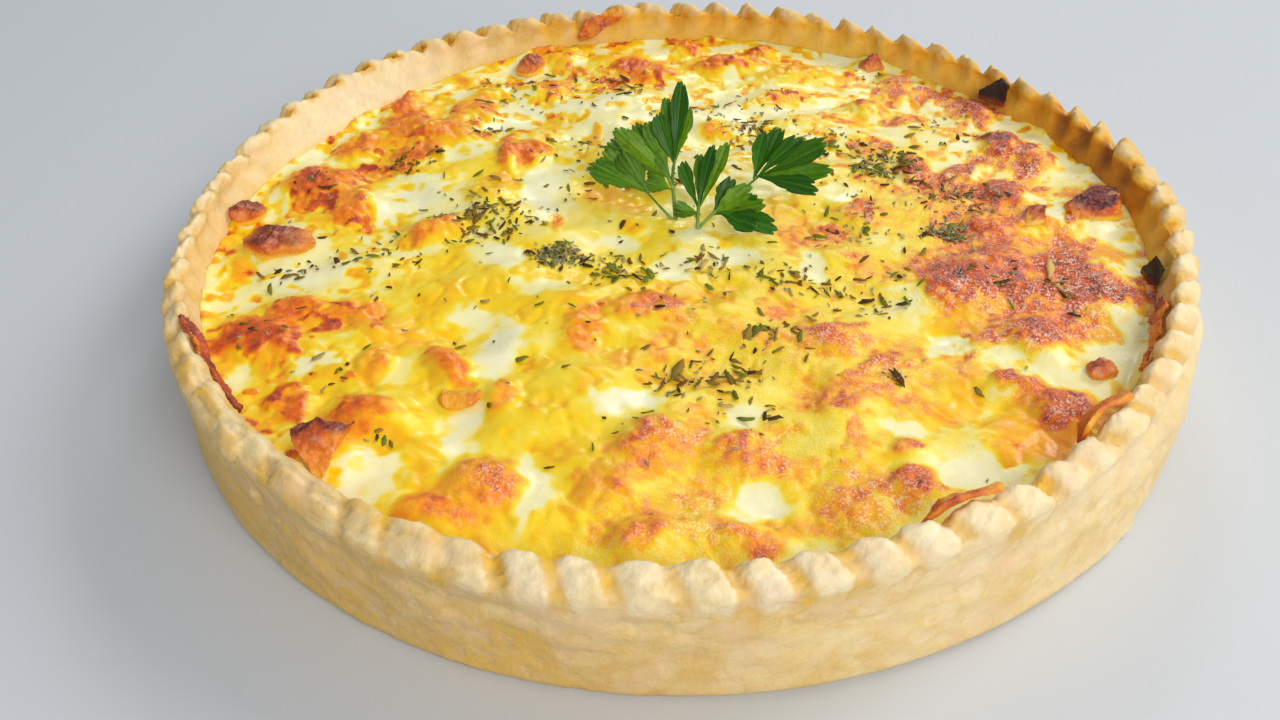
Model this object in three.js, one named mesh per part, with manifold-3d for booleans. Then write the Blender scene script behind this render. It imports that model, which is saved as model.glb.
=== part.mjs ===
// A round quiche, 24 cm across: a crimped pastry case, a baked egg and cheese filling with
// browned mounds and dried herbs, pieces of ham and cheese on top, and two sprigs of parsley.
// Millimetres and degrees. +Z is up, and the origin is the centre of the underside.
// Angles run anticlockwise from +X, seen from above.
import * as THREE from "three";
import { mergeVertices } from "three/addons/utils/BufferGeometryUtils.js";
import Module from "manifold-3d";

// Driving dimensions of the pastry case
const RIM_RADIUS = 120; // mean radius over the outer tips of the crimps
const INNER_RADIUS = 112.4; // mean radius of the rim's inner edge
const BASE_RADIUS = 118; // where the wall meets the underside
const BASE_SHIFT = 1.6; // the underside stands this far off centre
const BASE_SHIFT_ANGLE = -20;
const RIM_HEIGHT = 32.4; // crest of the rim
const FLOOR_THICKNESS = 5;
const FLOOR_RADIUS = 105.5; // inside corner between floor and wall
const SHELF_HEIGHT = 24; // where the inner face of the wall turns into the rim
const SHELF_INSET = 1; // how far the wall's inner face leans in below the rim
const FOOT_ROUND = 1.6; // rounding of the lower outside corner
const OVERHANG = 1.8; // how far the crimps stand out over the wall
const CRIMPS = 72; // crimped ridges around the rim
const RIDGE_ANGLE = 2.7; // angle of the middle of one ridge
const GROOVE_HALF_WIDTH = 0.25; // share of the pitch
const GROOVE_DEPTH = 2.1; // at the crest of the rim
const GROOVE_NOTCH = 1.6; // bite of a groove out of the outer edge
const INNER_NOTCH = 1.1; // bite of a groove out of the inner edge
const WALL_RELIEF = 0.45; // flaky unevenness of the outer wall
const WALL_STEPS = 108; // facets around the wall
const SHELF_STEPS = 72; // facets around the inner face

// The rim isn't a true circle: [waves around the rim, cosine part, sine part]
const OUT_OF_ROUND = [
  [2, -1.54, -0.61],
  [3, 1.58, 0.18],
  [4, 0.74, -0.17],
  [5, 0.74, 0.3],
  [6, -0.19, 0.79],
];
const INNER_SHARE = 0.35; // share of that unevenness at the inner edge

// Where the wall bulges between foot and rim
const BULGE = { angle: -24, spread: 15, depth: 2.4 };

// The broad bank of pastry inside the rim at the back left
const BANK = { angle: 143, spread: 21, inset: 5.5 };

// Where one length of dough overlaps the next: angle at the foot and at the rim, step height
const SEAMS = [
  { foot: -40, rim: -36.5, step: 1.1, fade: 11 },
  { foot: -131, rim: -134, step: 1, fade: 16 },
];

// Stretches of the rim where the crimps are pressed flat: angle, spread, share of depth left
const FLAT_CRIMPS = [
  { angle: -149, spread: 13, left: 0.3 },
  { angle: -44, spread: 6, left: 0.55 },
  { angle: 122, spread: 14, left: 0.7 },
];

// Driving dimensions of the filling
const GAP = 0.3; // clearance between pieces that touch
const FILLING_EDGE = 22.2; // height of the filling where it meets the wall
const FILLING_DOME = 1.8; // how much higher its middle stands
const FILLING_RINGS = 20; // rings of facets from the middle to the edge

// Browned mounds, ridges and hollows: [x, y, half length, half width, turn, rise]
const MOUNDS = [
  // back left: one long browned band
  [-77, 72, 6, 8, 0, 3],
  [-74, 62, 8, 9, 30, 2.6],
  [-75, 50, 13, 6, 0, 2.4],
  [-56, 60, 7, 11, 0, 2],
  [-60, 48, 10, 5, 0, 1.8],
  [-85, 43, 6, 6, 0, 2.2],
  [-66, 38, 7, 7, -40, 2],
  [-92, 23, 9, 9, 0, 3],
  [-84, 28, 4, 4, 0, 1.4],
  [-80, 14, 6, 8, 0, 2.4],
  // left
  [-58, 1, 8, 5, 20, 2.4],
  [-43, 38, 3, 8, 4, 2.4],
  [-37, 39, 4, 7, 10, 2],
  [-46, 20, 6, 9, 0, 1.6],
  [-105, -13, 5, 5, 0, 1.6],
  [-83, -31, 9, 5, -8, 2.6],
  [-92, -41, 11, 7, 0, 3],
  [-70, -30, 5, 5, 0, 1.6],
  [-63, -50, 4, 5, 0, 1.8],
  [-48, -50, 3.5, 7, 35, 2.2],
  [-79, -62, 5.5, 5, 0, 2.8],
  [-60, -67, 9, 5, -8, 3.4],
  // front
  [-35, -61, 3.5, 5, 0, 1.6],
  [-36, -87, 7, 7, 0, 4],
  [-45, -95, 7, 5, 0, 3],
  [-6, -31, 9, 5, 5, 2.4],
  [-20, -41, 5, 7, 0, 1.6],
  [-4, -75, 7, 7, 0, 3.2],
  [-5, -101, 6, 6, 0, 3],
  [-12, -88, 6, 7, 0, 1.4],
  [13, -78, 7, 6, 0, 3],
  [15, -101, 7, 3.5, 0, 2.6],
  [35, -62, 6, 10, -12, 2.6],
  [35, -44, 7, 5, 0, 1.8],
  [46, -54, 6, 6, 0, 2],
  [35, -90, 7, 8, 0, 2.2],
  [45, -87, 4.5, 5, 0, 2.8],
  [46, -78, 4, 3.5, 0, 2.2],
  // right
  [64, -24, 8, 7, 0, 2.8],
  [78, -15, 10, 7, 0, 2.8],
  [95, -16, 9, 8, 0, 2.6],
  [98, -30, 8, 6, 0, 3],
  [107, -25, 4, 6, 0, 2.4],
  [83, -27, 9, 6, 0, 2.2],
  [78, -43, 6, 8, 10, 3.2],
  [70, -58, 6, 4, 0, 2.8],
  [78, -66, 7, 6, -40, 3],
  [66, -73, 9, 7, 0, 1.6],
  [87, 42, 5, 7, 0, 3.4],
  [95, 33, 5, 6, 0, 2.4],
  [84, 18, 6, 6, 0, 2.4],
  [75, 29, 6, 4, 30, 2.2],
  [62, 28, 4.5, 7, 0, 2.4],
  [85, 63, 5, 7, 0, 2.8],
  [54, 63, 5, 5, 0, 2.4],
  [64, 81, 4, 6, 0, 2],
  [66, 57, 6, 5, 0, 1.6],
  [46, 9, 8, 7, 0, 1.6],
  [76, 4, 5, 5, 0, 2],
  [11, 50, 5, 4, 0, 1.8],
  // back
  [36, 86, 9, 6, 0, 1.6],
  [30, 69, 8, 6, 0, 1.4],
  [15, 90, 8, 5, 0, 2.4],
  [28, 101, 4, 6, 0, 1.8],
  [4, 106, 6, 6, 0, 2.6],
  [-9, 88, 9, 6, 0, 2.8],
  [-32, 101, 7, 7, 0, 2],
  [-36, 76, 8, 6, 0, 1.6],
  [-52, 76, 6, 5, 0, 2],
  // pools of pale custard
  [-67, 17, 6, 8, 0, -1],
  [-33, 22, 6, 10, 0, -0.8],
  [-43, -40, 7, 9, 0, -1.2],
  [-43, -72, 6, 9, 0, -1.2],
  [-57, -86, 6, 6, 0, -1],
  [-84, -17, 7, 6, 0, -1],
  [-8, -63, 6, 6, 0, -1.2],
  [16, -91, 6, 6, 0, -1.2],
  [57, -84, 7, 4, 20, -1],
  [58, -45, 5, 6, 0, -1.2],
  [31, -14, 5, 6, 0, -0.8],
  [14, -12, 7, 5, 0, -0.8],
  [106, -4, 4, 6, 0, -1],
  [68, 62, 4, 7, 0, -0.8],
];

// Long shallow swells of the baked surface: [wavelength, direction, phase, height]
const SWELLS = [
  [46, 20, 0.3, 0.45],
  [31, 75, 1.9, 0.4],
  [23, 130, 4.1, 0.35],
  [17, 50, 2.6, 0.28],
  [13, 105, 5.2, 0.22],
];

// Dried herb flakes that lie in the surface: [x, y, spread, count]
const HERB_PATCHES = [
  [-27, -10, 8, 11],
  [66, -1, 6, 6],
  [55, 30, 10, 7],
  [42, 42, 8, 4],
  [-46, 6, 10, 6],
  [-12, -15, 9, 5],
  [1, -56, 8, 5],
  [13, -52, 9, 5],
  [22, -41, 7, 4],
  [42, -27, 13, 6],
  [26, -20, 8, 5],
  [9, -16, 7, 3],
  [72, -23, 5, 2],
  [88, -26, 7, 3],
  [-68, 36, 7, 3],
  [-50, 53, 4, 2],
  [-92, 22, 6, 2],
  [-68, -9, 9, 3],
  [12, -66, 12, 4],
  [45, -57, 3, 1],
  [-24, -82, 0.1, 1],
  [20, 55, 14, 3],
  [0, 0, 92, 4],
];
const HERB_LENGTH = [2.2, 4.6]; // shortest and longest flake
const HERB_SPACING = 4.2;
const HERB_EDGE_RADIUS = 100; // no flake lies further out
const HERB_SEED = 11;

const COLOURS = {
  pastry: 0xe3c07f,
  filling: 0xf0c95a,
  ham: 0xa84f24,
  cheese: 0xb5551c,
  burnt: 0x2a1712,
  parsley: 0x3c7a1f,
};

const radians = THREE.MathUtils.degToRad;
const wasm = await Module();
wasm.setup();

// ---------------------------------------------------------------- helpers

// A seeded random number generator, from 0 to 1.
function randomFrom(seed) {
  let state = seed * 2654435761;
  return () => {
    state = (state + 0x6d2b79f5) | 0;
    let t = Math.imul(state ^ (state >>> 15), 1 | state);
    t = (t + Math.imul(t ^ (t >>> 7), 61 | t)) ^ t;
    return ((t ^ (t >>> 14)) >>> 0) / 4294967296;
  };
}

// The signed difference between two angles, from -180 to 180.
function turnBetween(from, to) {
  return THREE.MathUtils.euclideanModulo(to - from + 180, 360) - 180;
}

function bell(x) {
  return Math.exp(-x * x);
}

function polar(radius, angle, z) {
  const a = radians(angle);
  return new THREE.Vector3(radius * Math.cos(a), radius * Math.sin(a), z);
}

function geometryOf(points, triangles) {
  const geometry = new THREE.BufferGeometry().setFromPoints(points);
  geometry.setIndex(triangles);
  return geometry;
}

// Fills the band between two rings of points, which may differ in their number of points.
function stitch(triangles, a, countA, b, countB) {
  let i = 0;
  let j = 0;
  while (i < countA || j < countB) {
    const onA = j === countB || (i < countA && (i + 1) / countA <= (j + 1) / countB);
    if (onA) {
      triangles.push(a + (i % countA), a + ((i + 1) % countA), b + (j % countB));
      i += 1;
    } else {
      triangles.push(a + (i % countA), b + ((j + 1) % countB), b + (j % countB));
      j += 1;
    }
  }
}

// A closed skin over a stack of rings, with a fan to a middle point at either end.
function skin(firstMiddle, rings, lastMiddle) {
  const points = [firstMiddle];
  const triangles = [];
  const starts = rings.map((ring) => points.push(...ring) - ring.length);
  const first = rings[0].length;
  for (let i = 0; i < first; i += 1) {
    triangles.push(0, 1 + ((i + 1) % first), 1 + i);
  }
  for (let k = 0; k + 1 < rings.length; k += 1) {
    stitch(triangles, starts[k], rings[k].length, starts[k + 1], rings[k + 1].length);
  }
  const top = points.push(lastMiddle) - 1;
  const last = rings.at(-1).length;
  for (let i = 0; i < last; i += 1) {
    triangles.push(starts.at(-1) + i, starts.at(-1) + ((i + 1) % last), top);
  }
  return geometryOf(points, triangles);
}

// A thin sheet with thickness: rows of points, both faces split into triangles alike.
function sheet(rows, thickness, facing) {
  const columns = rows[0].length;
  const count = rows.length * columns;
  const lift = facing.clone().setLength(thickness / 2);
  const middle = rows.flat();
  const points = [
    ...middle.map((p) => p.clone().add(lift)),
    ...middle.map((p) => p.clone().sub(lift)),
  ];
  const triangles = [];
  for (let i = 0; i + 1 < rows.length; i += 1) {
    for (let j = 0; j + 1 < columns; j += 1) {
      const a = i * columns + j;
      const b = a + columns;
      triangles.push(a, b, b + 1, a, b + 1, a + 1);
      triangles.push(count + a, count + b + 1, count + b, count + a, count + a + 1, count + b + 1);
    }
  }
  const border = [];
  for (let j = 0; j + 1 < columns; j += 1) border.push(j);
  for (let i = 0; i + 1 < rows.length; i += 1) border.push(i * columns + columns - 1);
  for (let j = columns - 1; j > 0; j -= 1) border.push((rows.length - 1) * columns + j);
  for (let i = rows.length - 1; i > 0; i -= 1) border.push(i * columns);
  border.forEach((p, k) => {
    const q = border[(k + 1) % border.length];
    triangles.push(p, q, count + q, p, count + q, count + p);
  });
  return geometryOf(points, triangles);
}

// A closed geometry as a manifold solid with its faces out.
function solidOf(geometry) {
  const bare = new THREE.BufferGeometry();
  bare.setAttribute("position", geometry.getAttribute("position"));
  if (geometry.index) bare.setIndex(geometry.index);
  const merged = mergeVertices(bare, 1e-4);
  const triVerts = new Uint32Array(merged.index.array);
  const vertProperties = new Float32Array(merged.getAttribute("position").array);
  if (signedVolume(vertProperties, triVerts) < 0) triVerts.reverse();
  return new wasm.Manifold(new wasm.Mesh({ numProp: 3, vertProperties, triVerts }));
}

function signedVolume(positions, triangles) {
  const corner = (k) => new THREE.Vector3().fromArray(positions, 3 * triangles[k]);
  let sum = 0;
  for (let k = 0; k < triangles.length; k += 3) {
    sum += corner(k).dot(corner(k + 1).cross(corner(k + 2)));
  }
  return sum;
}

// The largest body of a solid, as a three.js geometry.
function bodyOf(solid) {
  const bodies = solid.decompose().sort((a, b) => b.volume() - a.volume());
  const { vertProperties, triVerts } = bodies[0].getMesh();
  const geometry = new THREE.BufferGeometry();
  geometry.setAttribute("position", new THREE.BufferAttribute(vertProperties, 3));
  geometry.setIndex(new THREE.BufferAttribute(triVerts, 1));
  const faceted = geometry.toNonIndexed();
  faceted.computeVertexNormals();
  return faceted;
}

// ---------------------------------------------------------------- pastry case

// How far the dough's outline departs from a circle at an angle.
function outOfRound(angle) {
  return OUT_OF_ROUND.reduce(
    (sum, [waves, cosine, sine]) =>
      sum + cosine * Math.cos(radians(waves * angle)) + sine * Math.sin(radians(waves * angle)),
    0,
  );
}

// How far the overlapping dough stands proud at an angle and height.
function seamStep(angle, z) {
  return SEAMS.reduce((sum, { foot, rim, step, fade }) => {
    const seam = THREE.MathUtils.lerp(foot, rim, z / RIM_HEIGHT);
    const behind = turnBetween(angle, seam);
    return behind > 0 ? sum + step * bell(behind / fade) : sum;
  }, 0);
}

// Uneven flaky surface of the wall, which dies out towards the foot.
function wallRelief(angle, z) {
  const a = radians(angle);
  const broad = Math.sin(9 * a + 0.21 * z) * Math.cos(14 * a - 0.13 * z + 1);
  const fine = Math.sin(31 * a + 0.5 * z) * Math.sin(0.45 * z + 5 * a);
  return WALL_RELIEF * (broad + fine) * THREE.MathUtils.smoothstep(z, 0, 14);
}

// The radius of the inner face of the wall, below the rim.
function innerRadius(angle, z) {
  const bank = BANK.inset * bell(turnBetween(BANK.angle, angle) / BANK.spread);
  const shelf = innerEdge(angle) - SHELF_INSET - bank;
  return THREE.MathUtils.mapLinear(z, FLOOR_THICKNESS, SHELF_HEIGHT, FLOOR_RADIUS, shelf);
}

function innerEdge(angle) {
  return INNER_RADIUS + INNER_SHARE * outOfRound(angle);
}

// How deep the crimps are pressed at an angle, as a share of their full depth.
function crimpStrength(at) {
  return FLAT_CRIMPS.reduce(
    (share, { angle, spread, left }) => share * (1 - (1 - left) * bell(turnBetween(angle, at) / spread)),
    1,
  );
}

// The four facet edges of each crimp: ridge, shoulder, groove and shoulder, with its own size.
function crimpColumns() {
  const random = randomFrom(5);
  const pitch = 360 / CRIMPS;
  const columns = [];
  for (let i = 0; i < CRIMPS; i += 1) {
    const middle = RIDGE_ANGLE + i * pitch;
    const crimp = {
      depth: (0.6 + 0.7 * random()) * crimpStrength(middle),
      rise: 1.1 * (random() - 0.5),
      reach: 1.3 * (random() - 0.5),
    };
    const groove = 0.5 + 0.14 * (random() - 0.5);
    const place = (share) => middle + share * pitch;
    columns.push({ ...crimp, angle: place(0), groove: 0 });
    columns.push({ ...crimp, angle: place(groove - GROOVE_HALF_WIDTH), groove: 0.08 });
    columns.push({ ...crimp, angle: place(groove), groove: 1 });
    columns.push({ ...crimp, angle: place(groove + GROOVE_HALF_WIDTH), groove: 0.08 });
  }
  return columns;
}

function pastryCase() {
  const even = (count) =>
    Array.from({ length: count }, (unused, i) => RIDGE_ANGLE + (360 * i) / count);
  const outer = (angle, z) => {
    const foot = BASE_RADIUS + BASE_SHIFT * Math.cos(radians(angle - BASE_SHIFT_ANGLE));
    const top = RIM_RADIUS + outOfRound(angle) - OVERHANG;
    const plain = THREE.MathUtils.lerp(foot, top, z / RIM_HEIGHT);
    const bulge = BULGE.depth * bell(turnBetween(BULGE.angle, angle) / BULGE.spread);
    const swell = bulge * Math.sin((Math.PI * z) / RIM_HEIGHT);
    return plain + swell + seamStep(angle, z) + wallRelief(angle, z);
  };
  const wallRing = (z, inset) =>
    even(WALL_STEPS).map((angle) => polar(outer(angle, z) - inset, angle, z));

  // One ring of the rim: share of the way in from the tips to the inner edge, drop below the
  // crest, and how much of the groove's depth, outer notch and inner notch reaches it.
  const crimps = crimpColumns();
  const rimRing = (inset, drop, depthShare, outerShare, innerShare) =>
    crimps.map(({ angle, groove, depth, rise, reach }) => {
      const proud = 0.5 * seamStep(angle, RIM_HEIGHT);
      const tips = RIM_RADIUS + outOfRound(angle) + proud;
      const radius =
        THREE.MathUtils.lerp(tips, innerEdge(angle), inset) +
        outerShare * (reach - GROOVE_NOTCH * groove * depth) +
        innerShare * INNER_NOTCH * groove * depth;
      const z = RIM_HEIGHT - drop + proud + depthShare * (rise - GROOVE_DEPTH * groove * depth);
      return polar(radius, angle, z);
    });

  const rings = [
    wallRing(0, FOOT_ROUND),
    wallRing(FOOT_ROUND, 0),
    wallRing(9, 0),
    wallRing(16, 0),
    wallRing(23, 0),
    rimRing(0.12, 5, 0.35, 0.4, 0),
    rimRing(0, 2.2, 0.8, 1, 0),
    rimRing(0.36, 0.1, 1, 0.5, 0),
    rimRing(0.88, 0.4, 0.9, 0, 0.9),
    rimRing(1.04, 3.4, 0.3, 0, 0.8),
    even(SHELF_STEPS).map((angle) => polar(innerRadius(angle, SHELF_HEIGHT), angle, SHELF_HEIGHT)),
    even(SHELF_STEPS).map((angle) => polar(FLOOR_RADIUS, angle, FLOOR_THICKNESS)),
  ];
  return skin(new THREE.Vector3(0, 0, 0), rings, new THREE.Vector3(0, 0, FLOOR_THICKNESS));
}

// ---------------------------------------------------------------- filling

function moundHeight(x, y, [cx, cy, halfLength, halfWidth, turn, rise]) {
  const a = radians(turn);
  const u = ((x - cx) * Math.cos(a) + (y - cy) * Math.sin(a)) / halfLength;
  const v = ((y - cy) * Math.cos(a) - (x - cx) * Math.sin(a)) / halfWidth;
  return rise * bell(u * u + v * v);
}

function swellHeight(x, y, [wavelength, direction, phase, height]) {
  const a = radians(direction);
  const along = x * Math.cos(a) + y * Math.sin(a);
  return height * Math.sin((2 * Math.PI * along) / wavelength + phase);
}

// Height of the baked surface above the underside of the case.
function surfaceHeight(x, y) {
  const angle = THREE.MathUtils.radToDeg(Math.atan2(y, x));
  const share = Math.min(1, Math.hypot(x, y) / innerRadius(angle, FILLING_EDGE));
  const inside = THREE.MathUtils.smoothstep(1 - share, 0, 0.06);
  const mounds = MOUNDS.reduce((sum, mound) => sum + moundHeight(x, y, mound), 0);
  const swells = SWELLS.reduce((sum, swell) => sum + swellHeight(x, y, swell), 0);
  return FILLING_EDGE + FILLING_DOME * (1 - share ** 3) + inside * (0.85 * mounds + swells);
}

function bakedFilling() {
  const base = FLOOR_THICKNESS + GAP;
  const ring = (count, share, height) =>
    Array.from({ length: count }, (unused, i) => {
      const angle = RIDGE_ANGLE + (360 * i) / count;
      const flat = polar(share * (innerRadius(angle, FILLING_EDGE) - GAP), angle, 0);
      flat.z = height ?? surfaceHeight(flat.x, flat.y);
      return flat;
    });
  const rings = [
    ring(6 * FILLING_RINGS, 1, 0).map((p) => p.setLength(FLOOR_RADIUS - 2 * GAP).setZ(base)),
  ];
  for (let k = FILLING_RINGS; k > 0; k -= 1) {
    rings.push(ring(6 * k, k / FILLING_RINGS));
  }
  const middle = new THREE.Vector3(0, 0, surfaceHeight(0, 0));
  return solidOf(skin(new THREE.Vector3(0, 0, base), rings, middle));
}

// One dried herb flake: a thin five-sided sliver, tipped a little out of the surface.
function herbFlake(x, y, length, random) {
  const corners = 5;
  const outline = new THREE.Shape(
    Array.from({ length: corners }, (unused, i) => {
      const a = (2 * Math.PI * (i + 0.5 * random())) / corners;
      return new THREE.Vector2((length / 2) * Math.cos(a), (length / 5) * Math.sin(a));
    }),
  );
  const flake = new THREE.ExtrudeGeometry(outline, { depth: 0.9, bevelEnabled: false });
  flake.translate(0, 0, -0.3);
  flake.rotateX(radians(24 * (random() - 0.5)));
  flake.rotateY(radians(22 * (random() - 0.5)));
  flake.rotateZ(2 * Math.PI * random());
  flake.translate(x, y, surfaceHeight(x, y));
  return solidOf(flake);
}

// Places herb flakes patch by patch, the longest first, clear of each other and of the toppings.
function herbFlakes(occupied) {
  const random = randomFrom(HERB_SEED);
  const placed = [];
  const free = (x, y) =>
    Math.hypot(x, y) < HERB_EDGE_RADIUS &&
    placed.every((p) => Math.hypot(p.x - x, p.y - y) > HERB_SPACING) &&
    occupied.every((o) => Math.hypot(o.x - x, o.y - y) > o.radius);
  for (const [cx, cy, spread, count] of HERB_PATCHES) {
    for (let i = 0; i < count; i += 1) {
      const radius = spread * Math.sqrt(random());
      const angle = 360 * random();
      const at = polar(radius, angle, 0).add(new THREE.Vector3(cx, cy, 0));
      const length = THREE.MathUtils.lerp(HERB_LENGTH[1], HERB_LENGTH[0], i / count);
      if (free(at.x, at.y)) placed.push({ x: at.x, y: at.y, length });
    }
  }
  return placed.map(({ x, y, length }) => herbFlake(x, y, length, random));
}

// ---------------------------------------------------------------- ham and cheese on top

// An angular piece of ham: a rounded block with facets pushed in and out.
function hamPiece({ at, size, turn, tip, pitch, seed }) {
  const random = randomFrom(seed);
  const ball = new THREE.IcosahedronGeometry(1, 1).deleteAttribute("normal").deleteAttribute("uv");
  const block = mergeVertices(ball, 1e-4);
  const position = block.getAttribute("position");
  const p = new THREE.Vector3();
  for (let i = 0; i < position.count; i += 1) {
    p.fromBufferAttribute(position, i);
    const boxy = 1 / Math.max(Math.abs(p.x), Math.abs(p.y), Math.abs(p.z));
    p.multiplyScalar(THREE.MathUtils.lerp(1, boxy, 0.6) * (0.88 + 0.24 * random()));
    position.setXYZ(i, (p.x * size[0]) / 2, (p.y * size[1]) / 2, (p.z * size[2]) / 2);
  }
  block.rotateX(radians(pitch));
  block.rotateY(radians(tip));
  block.rotateZ(radians(turn));
  block.translate(at[0], at[1], surfaceHeight(at[0], at[1]) + at[2]);
  return solidOf(block);
}

const STRIP_STEPS = 7;

// A curved strip of melted cheese along a route of [x, y, z], widest at its middle.
function cheeseStrip({ route, width, thickness, facing, curl }) {
  const curve = new THREE.CatmullRomCurve3(route.map((p) => new THREE.Vector3(...p)));
  const up = new THREE.Vector3(...facing).normalize();
  const rows = [];
  for (let i = 0; i <= STRIP_STEPS; i += 1) {
    const t = i / STRIP_STEPS;
    const across = curve.getTangent(t).cross(up).normalize();
    const taper = 0.35 + 0.65 * Math.sin(Math.PI * (0.05 + 0.9 * t));
    const half = (width / 2) * taper * (1 + 0.22 * Math.sin(11 * t + width));
    const middle = curve.getPoint(t);
    rows.push(
      [-1, 0, 1].map((side) =>
        middle
          .clone()
          .addScaledVector(across, side * half)
          .addScaledVector(up, curl * side * side * half * Math.sin(5 * t)),
      ),
    );
  }
  return solidOf(sheet(rows, thickness, up));
}

// A crisp burnt flake that stands on its edge.
function burntFlake({ at, width, height, turn, lean }) {
  const rows = [];
  for (let i = 0; i <= 4; i += 1) {
    const t = i / 4;
    rows.push(
      [-1, -0.3, 0.4, 1].map((side) => {
        const half = (width / 2) * (1 - 0.55 * t * t) * (1 + 0.12 * Math.sin(9 * t + side));
        const warp = 0.5 * Math.sin(2.4 * side + 2 * t);
        return new THREE.Vector3(side * half + 0.2 * width * t, warp, t * height);
      }),
    );
  }
  const flake = sheet(rows, 0.9, new THREE.Vector3(0, 1, 0));
  flake.rotateX(radians(lean));
  flake.rotateZ(radians(turn));
  flake.translate(...at);
  return solidOf(flake);
}

// Pieces on the surface: place and how far the middle stands above the filling, size, and how
// each is tipped sideways, pitched forwards and turned.
const HAM = [
  { name: "ham_front_left", at: [-68, -79, 4], size: [12, 16, 8], turn: -14, tip: -8, pitch: 33, seed: 21 },
  { name: "ham_left", at: [-94, -5, 2], size: [18, 12, 9], turn: 14, tip: 8, pitch: 0, seed: 22 },
  { name: "ham_left_small", at: [-105.5, 10, 2.6], size: [9, 8, 8], turn: 35, tip: 0, pitch: 0, seed: 23 },
  { name: "ham_right", at: [103, 9.5, 1.6], size: [15, 12, 9], turn: 12, tip: -6, pitch: 0, seed: 24 },
  { name: "ham_back_right", at: [59, 91, 1.4], size: [9, 8, 7], turn: 40, tip: 0, pitch: 0, seed: 25 },
  { name: "ham_back_left", at: [-42, 92, 1.4], size: [7, 10, 8], turn: -25, tip: 0, pitch: 0, seed: 26 },
  { name: "ham_middle_right", at: [88, 6, 0.9], size: [5, 12, 5], turn: -22, tip: 0, pitch: 0, seed: 27 },
  { name: "ham_right_curl", at: [88, -54.5, 1], size: [6.5, 5, 4.5], turn: 15, tip: 0, pitch: 0, seed: 28 },
  { name: "cheese_bar", at: [-43.5, -61.5, 0.9], size: [9.5, 5, 4.5], turn: 12, tip: 0, pitch: 0, seed: 29 },
];

const STRIPS = [
  {
    name: "cheese_curl_right",
    route: [[76.4, -81, 27], [78.2, -78.5, 30], [81.6, -75, 32.6], [86.6, -73.4, 34]],
    width: 4.6, thickness: 1.3, facing: [-0.6, 0.5, 0.7], curl: 0.4,
  },
  {
    name: "cheese_curl_front",
    route: [[42.4, -104.4, 29], [47.6, -101.6, 32], [52.6, -99.8, 33.4], [57.4, -97.6, 33.6]],
    width: 4.2, thickness: 1.1, facing: [-0.3, 0.6, 0.75], curl: 0.5,
  },
  {
    name: "cheese_edge_left",
    route: [[-104, -44.6, 32.4], [-100, -50.4, 30.6], [-95.6, -57, 28.4], [-86.6, -68.6, 27]],
    width: 5, thickness: 1.2, facing: [0.75, 0.4, 0.6], curl: 0.2,
  },
  {
    name: "cheese_edge_right",
    route: [[108.4, -29, 25.5], [104, -39, 27], [99.6, -49, 27.6], [95.6, -57, 26.6]],
    width: 4.4, thickness: 1.2, facing: [-0.85, 0.3, 0.5], curl: 0.2,
  },
  {
    name: "cheese_edge_back",
    route: [[-28, 106.5, 25.5], [-22, 109.5, 29], [-15, 111, 31.8]],
    width: 5, thickness: 1.3, facing: [0.2, -0.8, 0.6], curl: 0.3,
  },
];

const BURNT = [
  { name: "burnt_flake_back", at: [88, 63.5, 24.5], width: 8, height: 9, turn: -44, lean: -16 },
  { name: "burnt_flake_right", at: [107.6, -21, 22], width: 7.5, height: 9, turn: -80, lean: -10 },
];

// ---------------------------------------------------------------- parsley

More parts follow.
